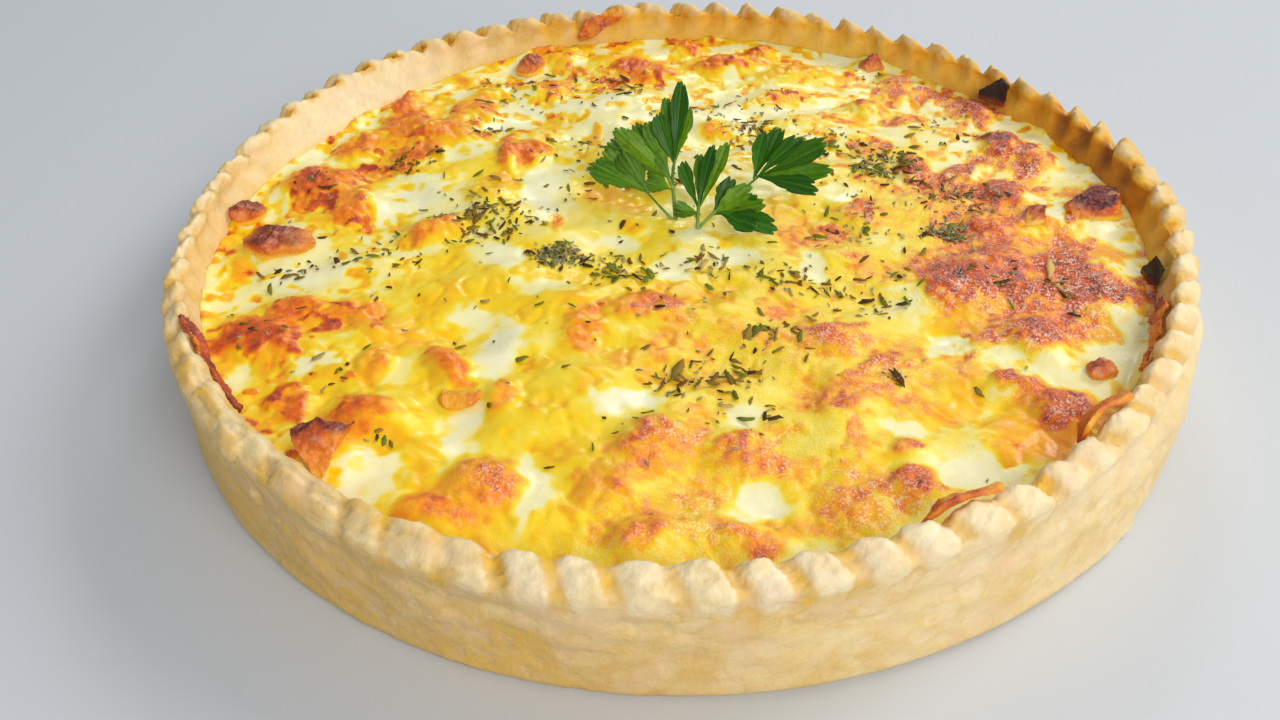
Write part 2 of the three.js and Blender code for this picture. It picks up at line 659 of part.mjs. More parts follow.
// Each sprig has a foot on the filling. Its stems and leaves are given from that foot. A leaf
// spreads from its root in one lobe for each tip, each lobe as wide as its width.
const PARSLEY = [
  {
    name: "parsley_left",
    foot: [0.9, 4.2],
    stems: [
      [[0, 0, -1], [-0.4, 3.6, 3.2], [-0.8, 8.6, 7.6], [0.2, 13, 12.6]],
      [[-0.2, 0.6, -0.6], [-3.2, 2.6, 1.8], [-8, 6.8, 5.4]],
      [[-0.6, 6, 5.4], [-2.2, 8.4, 7.8], [-5.4, 11, 10.6]],
    ],
    leaves: [
      {
        root: [-0.4, 10.6, 9.6],
        tips: [[-4.8, 18.6, 19.4], [-1.8, 20.8, 23.6], [1.6, 22.6, 26.2], [3, 19.6, 21]],
        width: 3,
      },
      {
        root: [-1.4, 8, 7.4],
        tips: [[-6.6, 17.8, 18.4], [-11, 17.4, 17.8], [-14.8, 16.4, 16.4], [-17.9, 15, 14.6]],
        width: 3.8,
      },
      {
        root: [-6.8, 6, 4.6],
        tips: [[-13.4, 13.6, 12.6], [-18, 13.2, 12], [-21.4, 11.8, 10.2]],
        width: 4.6,
      },
      { root: [-1.4, 6.2, 5.4], tips: [[-7.2, 10.4, 8.8], [-7.6, 8.4, 6.2]], width: 2.6 },
    ],
  },
  {
    name: "parsley_right",
    foot: [6.1, -0.4],
    stems: [
      [[0, 0, -1], [0, 2.4, 2], [0.4, 6, 5.4]],
      [[0.2, 1, 0], [5, 2.8, 4.4], [9.6, 4.4, 7.4], [15, 6.4, 11.4]],
    ],
    leaves: [
      {
        root: [0.2, 4, 3.4],
        tips: [[-3.2, 14.4, 10.4], [1, 15.8, 12.9], [4.6, 16, 14.4], [7.2, 15.3, 15.3]],
        width: 3.1,
      },
      { root: [0.6, 3, 2.6], tips: [[-5.8, 5.2, 4.6], [-6, 3.8, 2.8]], width: 1.8 },
      {
        root: [3.6, 2.2, 3],
        tips: [[9.2, 6.8, 10.4], [13, 5, 9], [15.8, 2.2, 6.6]],
        width: 4,
      },
      {
        root: [5, 2.2, 3.6],
        tips: [[16.4, 0.6, 5.4], [18.6, -4.8, 4.2], [14.6, -4.4, 2.6]],
        width: 4.4,
      },
      { root: [13.4, 6.2, 10.8], tips: [[16.4, 14.4, 18.6], [20.2, 14, 20.2]], width: 3 },
      {
        root: [14.4, 6.2, 11],
        tips: [[25.6, 9.6, 19.4], [31.6, 5.8, 18.6], [31, 2.6, 15.4], [29, -1.6, 12]],
        width: 4.6,
      },
    ],
  },
];
const LEAF_THICKNESS = 0.55;
const STEM_RADIUS = 0.75;

// A parsley leaf: a flat outline of lobes and notches, drawn around its root in the plane of its
// tips and then waved a little out of that plane. No lobe reaches over the one beside it.
function leaf({ root, tips, width }, foot) {
  const from = new THREE.Vector3(...root);
  const arms = tips.map((tip) => new THREE.Vector3(...tip).sub(from));
  const along = arms.reduce((sum, arm) => sum.add(arm), new THREE.Vector3()).normalize();
  const facing = new THREE.Vector3().crossVectors(arms.at(-1), arms[0]).normalize();
  const across = new THREE.Vector3().crossVectors(along, facing);
  const lobes = arms.map((arm) => ({
    length: arm.length(),
    turn: Math.atan2(arm.dot(across), arm.dot(along)),
  }));
  const point = (length, turn) =>
    new THREE.Vector2(length * Math.sin(turn), length * Math.cos(turn));
  const outline = [new THREE.Vector2(-0.5, -0.8)];
  lobes.forEach(({ length, turn }, i) => {
    const gaps = [lobes[i - 1], lobes[i + 1]].filter(Boolean).map((lobe) => Math.abs(lobe.turn - turn));
    const spread = Math.min(Math.atan2(width / 2, 0.83 * length), 0.42 * Math.min(...gaps));
    if (i > 0) {
      const before = lobes[i - 1];
      outline.push(point(0.5 * Math.min(length, before.length), (turn + before.turn) / 2));
    }
    outline.push(point(0.82 * length, turn - spread));
    outline.push(point(length, turn));
    outline.push(point(0.84 * length, turn + spread));
  });
  outline.push(new THREE.Vector2(0.5, -0.8));
  const blade = new THREE.ExtrudeGeometry(new THREE.Shape(outline), {
    depth: LEAF_THICKNESS,
    bevelEnabled: false,
  });
  const position = blade.getAttribute("position");
  for (let i = 0; i < position.count; i += 1) {
    const reach = position.getY(i) / lobes[0].length;
    const ripple = 0.07 * width * Math.sin(1.1 * position.getX(i));
    const bow = 0.35 * width * reach * (1 - reach);
    position.setZ(i, position.getZ(i) + ripple + bow - LEAF_THICKNESS / 2);
  }
  blade.applyMatrix4(new THREE.Matrix4().makeBasis(across, along, facing));
  blade.translate(from.x + foot.x, from.y + foot.y, from.z + foot.z);
  return solidOf(blade);
}

function stem(route, foot) {
  const curve = new THREE.CatmullRomCurve3(route.map((p) => new THREE.Vector3(...p).add(foot)));
  const section = new THREE.Shape(
    Array.from({ length: 5 }, (unused, i) => {
      const a = (2 * Math.PI * i) / 5;
      return new THREE.Vector2(STEM_RADIUS * Math.cos(a), STEM_RADIUS * Math.sin(a));
    }),
  );
  const options = { extrudePath: curve, steps: route.length + 1, bevelEnabled: false };
  return solidOf(new THREE.ExtrudeGeometry(section, options));
}

function parsleySprig({ foot, stems, leaves }) {
  const at = new THREE.Vector3(foot[0], foot[1], surfaceHeight(...foot));
  const pieces = [...stems.map((route) => stem(route, at)), ...leaves.map((spec) => leaf(spec, at))];
  return pieces.reduce((whole, piece) => whole.add(piece));
}

// ---------------------------------------------------------------- the quiche

const quiche = new THREE.Group();

function addPart(name, geometry, colour, roughness) {
  const material = new THREE.MeshStandardMaterial({ color: colour, roughness, metalness: 0 });
  const mesh = new THREE.Mesh(geometry, material);
  mesh.name = name;
  quiche.add(mesh);
}

const pastry = solidOf(pastryCase());
const spot = ([x, y], radius) => ({ x, y, radius });
const occupied = [
  ...HAM.map(({ at, size }) => spot(at, 0.6 * Math.max(size[0], size[1]) + 3)),
  ...STRIPS.flatMap(({ route }) => route.map((point) => spot(point, 7))),
  ...BURNT.map(({ at, width }) => spot(at, width)),
  ...PARSLEY.map(({ foot }) => spot(foot, 5)),
];
const filling = herbFlakes(occupied).reduce((whole, flake) => whole.add(flake), bakedFilling());

// Cuts a topping back to where it clears the filling and the pastry.
function cleared(topping) {
  const { min, max } = topping.boundingBox();
  const inward = new THREE.Vector3(-min[0] - max[0], -min[1] - max[1], 0).setLength(GAP);
  return topping
    .subtract(filling)
    .subtract(filling.translate([0, 0, GAP]))
    .subtract(pastry.translate([0, 0, GAP]))
    .subtract(pastry.translate(inward.toArray()));
}

addPart("pastry_case", bodyOf(pastry), COLOURS.pastry, 0.75);
addPart("filling", bodyOf(filling), COLOURS.filling, 0.4);
for (const [specs, make, colour, roughness] of [
  [HAM, hamPiece, COLOURS.ham, 0.45],
  [STRIPS, cheeseStrip, COLOURS.cheese, 0.4],
  [BURNT, burntFlake, COLOURS.burnt, 0.6],
  [PARSLEY, parsleySprig, COLOURS.parsley, 0.5],
]) {
  for (const spec of specs) addPart(spec.name, bodyOf(cleared(make(spec))), colour, roughness);
}

export default quiche;
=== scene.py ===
"""The looks of the quiche: crimped pastry, baked filling, herbs, ham, cheese and parsley.

Shapes are worked out in millimetres in the part's own frame and turned into metres when
they become meshes. Angles are in degrees, anticlockwise from +X, seen from above.
"""

import bmesh
import bpy
import numpy as np
from mathutils import Matrix, Vector


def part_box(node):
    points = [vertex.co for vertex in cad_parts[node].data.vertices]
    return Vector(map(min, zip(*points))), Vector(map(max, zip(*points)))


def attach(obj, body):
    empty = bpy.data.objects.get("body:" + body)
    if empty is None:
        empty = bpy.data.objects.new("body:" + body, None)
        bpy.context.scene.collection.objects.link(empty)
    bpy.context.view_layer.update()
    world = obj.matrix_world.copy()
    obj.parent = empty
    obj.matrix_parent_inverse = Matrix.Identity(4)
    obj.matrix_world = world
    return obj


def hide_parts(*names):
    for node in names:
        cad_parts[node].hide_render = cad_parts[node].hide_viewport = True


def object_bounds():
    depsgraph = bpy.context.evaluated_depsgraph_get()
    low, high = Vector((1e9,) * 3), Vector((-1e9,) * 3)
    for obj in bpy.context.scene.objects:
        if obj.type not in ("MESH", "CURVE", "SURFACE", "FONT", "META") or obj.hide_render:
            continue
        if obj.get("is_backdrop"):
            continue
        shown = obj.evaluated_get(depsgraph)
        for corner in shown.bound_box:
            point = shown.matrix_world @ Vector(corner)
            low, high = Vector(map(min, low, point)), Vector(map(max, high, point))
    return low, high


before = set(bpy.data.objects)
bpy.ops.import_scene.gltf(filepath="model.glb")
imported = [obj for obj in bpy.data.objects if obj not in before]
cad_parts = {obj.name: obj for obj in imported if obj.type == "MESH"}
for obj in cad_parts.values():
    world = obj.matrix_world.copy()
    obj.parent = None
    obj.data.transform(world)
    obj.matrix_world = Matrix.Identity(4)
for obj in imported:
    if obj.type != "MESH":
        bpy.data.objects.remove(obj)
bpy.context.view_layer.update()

MM = 0.001

# ---------------------------------------------------------------- the case's dimensions (mm)

RIM_RADIUS = 120.0
INNER_RADIUS = 112.4
BASE_RADIUS = 118.0
BASE_SHIFT = 1.6
BASE_SHIFT_ANGLE = -20.0
RIM_HEIGHT = 32.4
FLOOR_THICKNESS = 5.0
FLOOR_RADIUS = 105.5
SHELF_HEIGHT = 24.0
SHELF_INSET = 1.0
FOOT_ROUND = 1.6
OVERHANG = 1.8
CRIMPS = 72
CRIMP_SEED = 5
RIDGE_ANGLE = 2.7
CRIMP_SLANT = 2.0  # degrees that a groove turns on its way in
GROOVE_DEPTH = 2.1
GROOVE_NOTCH = 1.6
INNER_NOTCH = 1.1
WALL_RELIEF = 0.45
# Slow waves of the rim's radius: how many in a turn, and their cosine and sine parts
OUT_OF_ROUND = [(2, -1.54, -0.61), (3, 1.58, 0.18), (4, 0.74, -0.17), (5, 0.74, 0.3), (6, -0.19, 0.79)]
INNER_SHARE = 0.35
# The outward swell of the wall at the front right, and the broad pressed bank at the back left
BULGE_ANGLE, BULGE_SPREAD, BULGE_DEPTH = -24.0, 15.0, 2.4
BANK_ANGLE, BANK_SPREAD, BANK_DEPTH = 143.0, 21.0, 5.5
# Edges of overlapping dough: angle at the foot and at the rim, step, degrees over which it fades,
# and the height below which there is none
SEAMS = [(-40.0, -36.5, 1.1, 11.0, 0.0), (-131.0, -134.0, 1.0, 16.0, 22.0)]
# Where the crimps are pressed flat: direction, spread, share of their depth that is left
FLAT_CRIMPS = [(-136.0, 26.0, 0.25), (-44.0, 6.0, 0.55)]

# Rows of the mesh from each ring of the case's profile to the next, and the ring on the rim's crest
RING_STEPS = [3, 2, 5, 6, 5, 5, 5, 5, 6, 7, 6, 6, 6, 6, 5, 4, 6, 3]
CREST_RING = 13

# ---------------------------------------------------------------- the filling's dimensions (mm)

FILLING_EDGE = 22.2
FILLING_DOME = 1.8

# Browned mounds and hollows: x, y, half length, half width, turn, rise
MOUNDS = [
    (-77, 72, 6, 8, 0, 3), (-74, 62, 8, 9, 30, 2.6), (-75, 50, 13, 6, 0, 2.4),
    (-56, 60, 7, 11, 0, 2), (-60, 48, 10, 5, 0, 1.8), (-85, 43, 6, 6, 0, 2.2),
    (-66, 38, 7, 7, -40, 2), (-92, 23, 9, 9, 0, 3), (-84, 28, 4, 4, 0, 1.4),
    (-80, 14, 6, 8, 0, 2.4), (-58, 1, 8, 5, 20, 2.4), (-43, 38, 3, 8, 4, 2.4),
    (-37, 39, 4, 7, 10, 2), (-46, 20, 6, 9, 0, 1.6), (-105, -13, 5, 5, 0, 1.6),
    (-83, -31, 9, 5, -8, 2.6), (-92, -41, 11, 7, 0, 3), (-70, -30, 5, 5, 0, 1.6),
    (-63, -50, 4, 5, 0, 1.8), (-48, -50, 3.5, 7, 35, 2.2), (-79, -62, 5.5, 5, 0, 2.8),
    (-60, -67, 9, 5, -8, 3.4), (-35, -61, 3.5, 5, 0, 1.6), (-36, -87, 7, 7, 0, 4),
    (-45, -95, 7, 5, 0, 3), (-6, -31, 9, 5, 5, 2.4), (-20, -41, 5, 7, 0, 1.6),
    (-4, -75, 7, 7, 0, 3.2), (-5, -101, 6, 6, 0, 3), (-12, -88, 6, 7, 0, 1.4),
    (13, -78, 7, 6, 0, 3), (15, -101, 7, 3.5, 0, 2.6), (35, -62, 6, 10, -12, 2.6),
    (35, -44, 7, 5, 0, 1.8), (46, -54, 6, 6, 0, 2), (35, -90, 7, 8, 0, 2.2),
    (45, -87, 4.5, 5, 0, 2.8), (46, -78, 4, 3.5, 0, 2.2), (64, -24, 8, 7, 0, 2.8),
    (78, -15, 10, 7, 0, 2.8), (95, -16, 9, 8, 0, 2.6), (98, -30, 8, 6, 0, 3),
    (107, -25, 4, 6, 0, 2.4), (83, -27, 9, 6, 0, 2.2), (78, -43, 6, 8, 10, 3.2),
    (70, -58, 6, 4, 0, 2.8), (78, -66, 7, 6, -40, 3), (66, -73, 9, 7, 0, 1.6),
    (87, 42, 5, 7, 0, 3.4), (95, 33, 5, 6, 0, 2.4), (84, 18, 6, 6, 0, 2.4),
    (75, 29, 6, 4, 30, 2.2), (62, 28, 4.5, 7, 0, 2.4), (85, 63, 5, 7, 0, 2.8),
    (54, 63, 5, 5, 0, 2.4), (64, 81, 4, 6, 0, 2), (66, 57, 6, 5, 0, 1.6),
    (46, 9, 8, 7, 0, 1.6), (76, 4, 5, 5, 0, 2), (11, 50, 5, 4, 0, 1.8),
    (36, 86, 9, 6, 0, 1.6), (30, 69, 8, 6, 0, 1.4), (15, 90, 8, 5, 0, 2.4),
    (28, 101, 4, 6, 0, 1.8), (4, 106, 6, 6, 0, 2.6), (-9, 88, 9, 6, 0, 2.8),
    (-32, 101, 7, 7, 0, 2), (-36, 76, 8, 6, 0, 1.6), (-52, 76, 6, 5, 0, 2),
    (-67, 17, 6, 8, 0, -1), (-33, 22, 6, 10, 0, -0.8), (-43, -40, 7, 9, 0, -1.2),
    (-43, -72, 6, 9, 0, -1.2), (-57, -86, 6, 6, 0, -1), (-84, -17, 7, 6, 0, -1),
    (-8, -63, 6, 6, 0, -1.2), (16, -91, 6, 6, 0, -1.2), (57, -84, 7, 4, 20, -1),
    (58, -45, 5, 6, 0, -1.2), (31, -14, 5, 6, 0, -0.8), (14, -12, 7, 5, 0, -0.8),
    (106, -4, 4, 6, 0, -1), (68, 62, 4, 7, 0, -0.8),
]
# Long shallow swells: wavelength, direction, phase, height
SWELLS = [(46, 20, 0.3, 0.45), (31, 75, 1.9, 0.4), (23, 130, 4.1, 0.35),
          (17, 50, 2.6, 0.28), (13, 105, 5.2, 0.22)]

# ---------------------------------------------------------------- colours, as seen (sRGB 0-255)

# The colour of the filling at each level of browning, from 0 to 1
BROWNING = [
    (0.00, (250, 247, 214)),  # white custard
    (0.14, (254, 241, 158)),
    (0.26, (255, 225, 58)),
    (0.38, (255, 212, 4)),    # bright yellow cheese
    (0.50, (255, 184, 2)),
    (0.60, (250, 150, 6)),    # orange
    (0.72, (226, 102, 14)),
    (0.84, (190, 72, 32)),    # browned
    (0.94, (138, 48, 30)),
    (1.00, (74, 30, 20)),     # nearly burnt
]
# The colour of the pastry at each level of browning
PASTRY_BROWNING = [
    (0.00, (255, 246, 226)),
    (0.15, (251, 232, 188)),
    (0.35, (239, 209, 146)),
    (0.50, (228, 187, 108)),
    (0.62, (239, 190, 68)),
    (0.80, (224, 152, 26)),
    (1.00, (160, 92, 26)),
]
# What each kind of patch is: its browning, and its share of pale specks, which are blistered skin and
# painted highlight glints; kind p is browned cheese with pinkish painted highlights
KINDS = {
    "w": (0.03, 0.0), "c": (0.17, 0.05), "y": (0.38, 0.08), "g": (0.5, 0.2), "o": (0.62, 0.3),
    "r": (0.73, 0.4), "b": (0.85, 0.4), "p": (0.7, 0.95), "d": (0.98, 0.15),
}

# Patches of colour on the filling: x, y, half length, half width, turn, colour, strength
PATCHES = [
    # wide washes first
    (-15, 25, 60, 38, 0, "c", 0.75), (15, 62, 50, 34, 0, "c", 0.6), (28, -62, 48, 38, 0, "g", 0.3),
    (-52, -32, 30, 17, 0, "y", 0.8), (-30, -75, 32, 30, 0, "y", 0.6), (30, -12, 26, 22, 0, "y", 0.45),
    (70, 20, 36, 40, 0, "g", 0.35), (40, 30, 20, 20, 0, "c", 0.4), (0, 92, 50, 16, 0, "g", 0.45),
    (72, -72, 14, 12, 0, "y", 0.9), (90, -55, 16, 14, 0, "c", 0.6), (-85, -20, 22, 12, 0, "c", 0.7),
    # back left
    (-82, 74, 5, 9, 0, "o", 1), (-78, 72, 6, 9, 0, "r", 0.9), (-74.5, 65, 4, 6, 0, "b", 0.9),
    (-70, 70, 3, 6, 0, "p", 0.4), (-72, 60, 8, 9, -30, "r", 0.9), (-65, 52, 10, 8, 0, "o", 1),
    (-76, 52, 7, 8, 0, "r", 0.85), (-55, 62, 6, 12, 0, "o", 0.95), (-53, 78, 4, 5, 0, "p", 0.5),
    (-47, 81, 6, 4, 0, "o", 0.85), (-60, 48, 12, 4, 0, "o", 0.95), (-50, 52, 3, 2, 0, "d", 0.6),
    (-64, 69, 3, 8, 0, "y", 0.8), (-85, 43, 7, 6, 0, "o", 0.95), (-83, 44, 3, 4, 0, "r", 0.6),
    (-72, 40, 9, 9, 0, "o", 0.85), (-67, 39, 4, 6, -40, "r", 0.75), (-78, 30, 6, 7, 0, "o", 0.85),
    (-92, 24, 9, 8, 0, "r", 0.95), (-94, 26, 4, 4, 0, "b", 0.7), (-85, 28, 3, 5, -30, "p", 0.85),
    (-86, 22, 2, 4, 0, "p", 0.75), (-90, 18, 4, 5, 0, "b", 0.5), (-81, 14, 6, 9, 0, "o", 0.95),
    (-80, 10, 4, 5, 0, "r", 0.6), (-92, 12, 4, 6, 0, "o", 0.85), (-100, 12, 3, 6, 0, "y", 0.8),
    (-70, 26, 4, 5, 0, "y", 0.85), (-64, 20, 6, 10, 0, "w", 0.95), (-68, 11, 4, 5, 0, "w", 0.9),
    (-57, 38, 6, 4, 0, "w", 0.7), (-60, 32, 5, 4, 0, "y", 0.5), (-40, 61, 4, 7, 0, "w", 0.85),
    (-26, 65, 9, 5, 0, "w", 0.7), (-15, 70, 6, 6, 0, "w", 0.7), (-43, 38, 2.6, 9, 5, "r", 0.95),
    (-44, 46, 2.5, 5, 0, "o", 0.8), (-37, 39, 4, 6, 15, "o", 0.9), (-38, 37, 2, 4, 0, "r", 0.6),
    (-45, 22, 6, 9, 0, "g", 0.9), (-43, 14, 3, 4, 0, "o", 0.4), (-32, 22, 6, 12, 0, "w", 0.9),
    (-30, 8, 5, 5, 0, "w", 0.6), (-12, 14, 9, 8, 0, "o", 0.65), (-12, 20, 12, 7, 0, "g", 0.6),
    (-20, 35, 6, 6, 0, "g", 0.5),
    # left
    (-58, 0, 6, 5, 20, "r", 0.85), (-61, -2, 3, 3, 0, "p", 0.8), (-53, 3, 6, 4, 25, "o", 0.8),
    (-28, 4, 2.5, 4, 0, "o", 0.85), (-103, -14, 3, 5, 0, "o", 0.85), (-86, -17, 8, 4, 0, "w", 0.9),
    (-83, -31, 9, 4, -8, "r", 0.95), (-76, -33, 7, 5, 0, "o", 0.9), (-90, -38, 12, 8, 0, "r", 0.9),
    (-92, -41, 9, 5, 0, "b", 0.85), (-94, -42, 3, 2, 0, "d", 0.7), (-88, -43, 3, 2, 0, "d", 0.7),
    (-90, -36, 3, 3, 0, "p", 0.4), (-84, -50, 5, 4, 0, "o", 0.6), (-70, -30, 6, 5, 0, "o", 0.85),
    (-62, -38, 8, 5, 0, "g", 0.8), (-44, -34, 7, 5, 0, "w", 0.85), (-38, -45, 5, 10, 0, "w", 0.95),
    (-57, -53, 5, 6, 0, "c", 0.85), (-63, -50, 3.5, 5, 0, "o", 0.95), (-49, -49, 3, 7, 35, "r", 0.95),
    (-45, -55, 2, 4, 0, "r", 0.85), (-75, -50, 6, 3, 0, "w", 0.75), (-79, -62, 5, 5, 0, "r", 1),
    (-77, -62, 3, 3, 0, "b", 0.5), (-62, -66, 9, 4.5, -8, "b", 0.9), (-58, -65, 6, 3, 0, "p", 0.8),
    (-66, -70, 6, 5, 0, "r", 0.8), (-72, -58, 5, 3, 0, "o", 0.7), (-83, -68, 3, 4, 0, "o", 0.8),
    (-36, -61, 3, 5, 0, "o", 0.85), (-36, -60, 1.5, 3, 0, "p", 0.4), (-55, -75, 10, 3, 0, "y", 0.8),
    (-43, -72, 5, 10, 0, "w", 0.95), (-58, -85, 6, 8, 0, "w", 0.9), (-52, -92, 3, 4, 0, "c", 0.8),
    # front left
    (-36, -88, 7, 7, 0, "r", 0.9), (-34, -85, 6, 6, 0, "p", 0.75), (-40, -91, 6, 6, 0, "o", 0.75),
    (-46, -94, 6, 4, 0, "r", 0.9), (-40, -95, 3, 3, 0, "b", 0.6), (-50, -97, 4, 3, 0, "o", 0.85),
    (-27, -88, 3, 12, 0, "w", 0.85), (-19, -80, 3, 14, 0, "y", 0.85), (-5, -30, 8, 4, 0, "r", 0.8),
    (-4, -32, 3, 2, 0, "p", 0.6), (-14, -32, 6, 4, 0, "o", 0.75), (-20, -41, 4, 7, 0, "o", 0.6),
    (-30, -53, 4, 6, 0, "o", 0.4), (-30, -22, 8, 4, 0, "w", 0.7), (-8, -63, 7, 5, 0, "w", 0.97),
    (-6, -53, 5, 2.5, 0, "o", 0.5), (-4, -75, 5, 6, 0, "r", 0.9), (-3, -74, 3, 4, 0, "p", 0.5),
    (-8, -79, 6, 8, 0, "o", 0.7), (-12, -88, 6, 9, 0, "o", 0.55), (-8, -97, 8, 6, 0, "o", 0.75),
    (-5, -101, 5, 4, 0, "r", 0.95), (-3, -103, 2, 2, 0, "b", 0.5), (-40, -10, 5, 6, 0, "w", 0.75),
    (-15, -3, 8, 4, 0, "w", 0.75), (1, -14, 5, 6, 0, "w", 0.8), (-10, 2, 3, 3, 0, "o", 0.5),
    # front right
    (14, -11, 7, 5, 0, "w", 0.85), (5, -4, 5, 4, 0, "w", 0.75), (31, -14, 4, 5, 0, "w", 0.85),
    (12, -21, 6, 5, 0, "y", 0.7), (33, -3, 8, 5, 0, "o", 0.6), (36, 0, 2, 1.5, 0, "d", 0.5),
    (40, -4, 4, 3, 0, "p", 0.55), (42, -12, 5, 6, 0, "o", 0.5), (44, -10, 3, 3, 0, "p", 0.55),
    (2, -35, 5, 4, 0, "p", 0.5), (34, -43, 7, 4, 0, "p", 0.75), (32, -46, 6, 5, 0, "o", 0.45),
    (44, -54, 6, 6, 0, "p", 0.75), (42, -60, 6, 5, 0, "o", 0.6), (36, -62, 4, 9, -10, "r", 0.8),
    (34, -60, 4, 5, 0, "b", 0.45), (28, -62, 5, 7, 0, "o", 0.6), (35, -75, 3, 5, 0, "r", 0.9),
    (58, -45, 4, 6, 0, "w", 0.95), (48, -70, 5, 4, 0, "w", 0.85), (57, -83, 9, 4, 15, "w", 0.97),
    (53, -66, 5, 5, 0, "y", 0.75), (44, -87, 4, 5, 0, "r", 0.95), (44, -86, 2, 2, 0, "b", 0.45),
    (44, -80, 4, 3, 0, "y", 0.8), (46, -78, 3, 2.5, 0, "r", 0.9), (35, -92, 8, 8, 0, "p", 0.6),
    (30, -95, 8, 6, 0, "o", 0.5), (52, -89, 6, 1.5, 0, "p", 0.5), (13, -78, 6, 5, 0, "r", 0.95),
    (13, -77, 3, 2, 0, "b", 0.65), (12, -84, 6, 5, 0, "o", 0.55), (19, -80, 3, 4, 0, "p", 0.55),
    (16, -91, 6, 5, 0, "w", 0.95), (14, -98, 8, 4, 0, "o", 0.5), (15, -101, 6, 3, 0, "r", 0.9),
    (15, -68, 5, 4, 0, "w", 0.75), (2, -80, 5, 8, 0, "o", 0.6), (2, -74, 4, 4, 0, "p", 0.45),
    (5, -95, 6, 8, 0, "p", 0.45), (5, -68, 4, 4, 0, "o", 0.5), (6, -62, 3, 4, 0, "y", 0.75),
    (22, -75, 5, 4, 0, "p", 0.35), (22, -97, 5, 5, 0, "g", 0.6),
    # right: the broad browned field
    (57, -20, 3, 8, 0, "o", 0.8), (64, -22, 7, 8, 0, "r", 0.95), (65, -25, 6, 4, 0, "b", 0.9),
    (67, -28, 4, 3, 0, "p", 0.65), (80, -19, 13, 9, 0, "b", 0.8), (78, -14, 14, 7, 0, "r", 0.75),
    (84, -24, 8, 5, 0, "p", 0.55), (98, -26, 9, 7, 0, "b", 0.88), (100, -27, 6, 5, 0, "p", 0.55),
    (106, -25, 4, 6, 0, "r", 0.75), (90, -13, 8, 6, 0, "p", 0.75), (100, -10, 6, 4, 0, "o", 0.65),
    (84, -36, 8, 5, 0, "r", 0.85), (92, -37, 5, 4, 0, "p", 0.65), (78, -43, 6, 6, 0, "b", 0.92),
    (77, -46, 3, 3, 0, "p", 0.85), (85, -49, 5, 4, 0, "c", 0.75), (97, -48, 6, 5, 0, "w", 0.85),
    (95, -55, 4, 4, 0, "w", 0.75), (62, -36, 7, 5, 0, "y", 0.8), (68, -56, 5, 4, 0, "o", 0.85),
    (70, -58, 5, 3, 0, "r", 0.95), (78, -66, 6, 5, 0, "b", 0.95), (74, -62, 6, 5, 0, "r", 0.75),
    (78, -68, 3, 3, 0, "p", 0.65), (66, -73, 8, 7, 0, "y", 1), (62, -78, 4, 3, 0, "g", 0.7),
    (58, -60, 5, 7, 0, "y", 0.7), (107, -4, 4, 7, 0, "w", 0.95), (80, -5, 5, 4, 0, "o", 0.65),
    (60, -12, 5, 3, 0, "b", 0.5), (76, 4, 5, 5, 0, "o", 0.85), (77, 3, 3, 3, 0, "r", 0.6),
    (88, 0, 4, 5, -20, "c", 0.7), (93, 10, 3, 6, 0, "w", 0.85), (100, 0, 4, 5, 0, "c", 0.7),
    # right, behind the middle
    (46, 8, 7, 6, 0, "o", 0.75), (48, 8, 3, 5, 0, "p", 0.65), (28, 8, 7, 8, 0, "o", 0.55),
    (41, 14, 4, 3, 0, "w", 0.85), (56, 19, 6, 5, 0, "p", 0.65), (50, 20, 5, 5, 0, "o", 0.5),
    (70, 18, 4, 3, 0, "p", 0.65), (84, 19, 6, 6, 0, "r", 0.9), (87, 22, 4, 3, 0, "p", 0.55),
    (62, 27, 4, 7, 0, "r", 0.85), (66, 24, 4, 4, 0, "p", 0.55), (74, 29, 7, 3, 35, "p", 0.8),
    (74, 28, 3, 3, 0, "r", 0.55), (55, 42, 4, 5, 0, "b", 0.5), (54, 38, 5, 5, 0, "p", 0.6),
    (87, 43, 5, 8, 0, "r", 1), (88, 42, 2.5, 4, 0, "b", 0.95), (93, 38, 2.5, 4, 0, "d", 0.85),
    (93, 31, 4, 7, 0, "p", 0.85), (95, 32, 5, 5, 0, "r", 0.5), (75, 42, 4, 5, 0, "w", 0.85),
    (102, 37, 4, 7, 0, "y", 0.8), (104, 26, 3, 2, 0, "w", 0.7), (95, 54, 5, 6, 0, "c", 0.8),
    (85, 62, 5, 8, 0, "r", 0.85), (89, 66, 3, 5, 0, "p", 0.65), (11, 50, 4, 4, 0, "o", 0.85),
    (25, 47, 3, 5, 0, "y", 0.8), (33, 30, 3, 8, -30, "y", 0.85), (20, 38, 6, 8, 0, "w", 0.5),
    # back
    (53, 63, 5, 4, 20, "r", 0.95), (56, 66, 5, 4, 0, "o", 0.65), (67, 63, 4, 7, 0, "w", 0.85),
    (65, 57, 5, 4, 0, "o", 0.75), (62, 55, 4, 3, 0, "p", 0.55), (64, 80, 4, 9, 0, "p", 0.75),
    (60, 70, 5, 3, 0, "o", 0.55), (52, 84, 3, 7, 0, "o", 0.55), (42, 72, 6, 8, 0, "c", 0.6),
    (46, 97, 8, 7, 0, "w", 0.92), (34, 88, 9, 7, 0, "g", 0.9), (30, 68, 10, 7, 0, "g", 0.85),
    (22, 78, 5, 5, 0, "y", 0.7), (17, 84, 4, 6, 0, "w", 0.6), (27, 102, 3, 7, 0, "o", 0.85),
    (15, 104, 7, 5, 0, "w", 0.92), (12, 91, 6, 6, 0, "r", 0.55), (14, 90, 3, 5, 0, "p", 0.75),
    (20, 93, 3, 4, 0, "r", 0.45), (4, 107, 6, 7, 0, "r", 0.9), (-9, 105, 6, 5, 0, "w", 0.92),
    (-14, 92, 6, 6, 0, "o", 0.75), (-9, 88, 8, 6, 0, "r", 0.9), (-3, 83, 2, 3, 0, "d", 0.7),
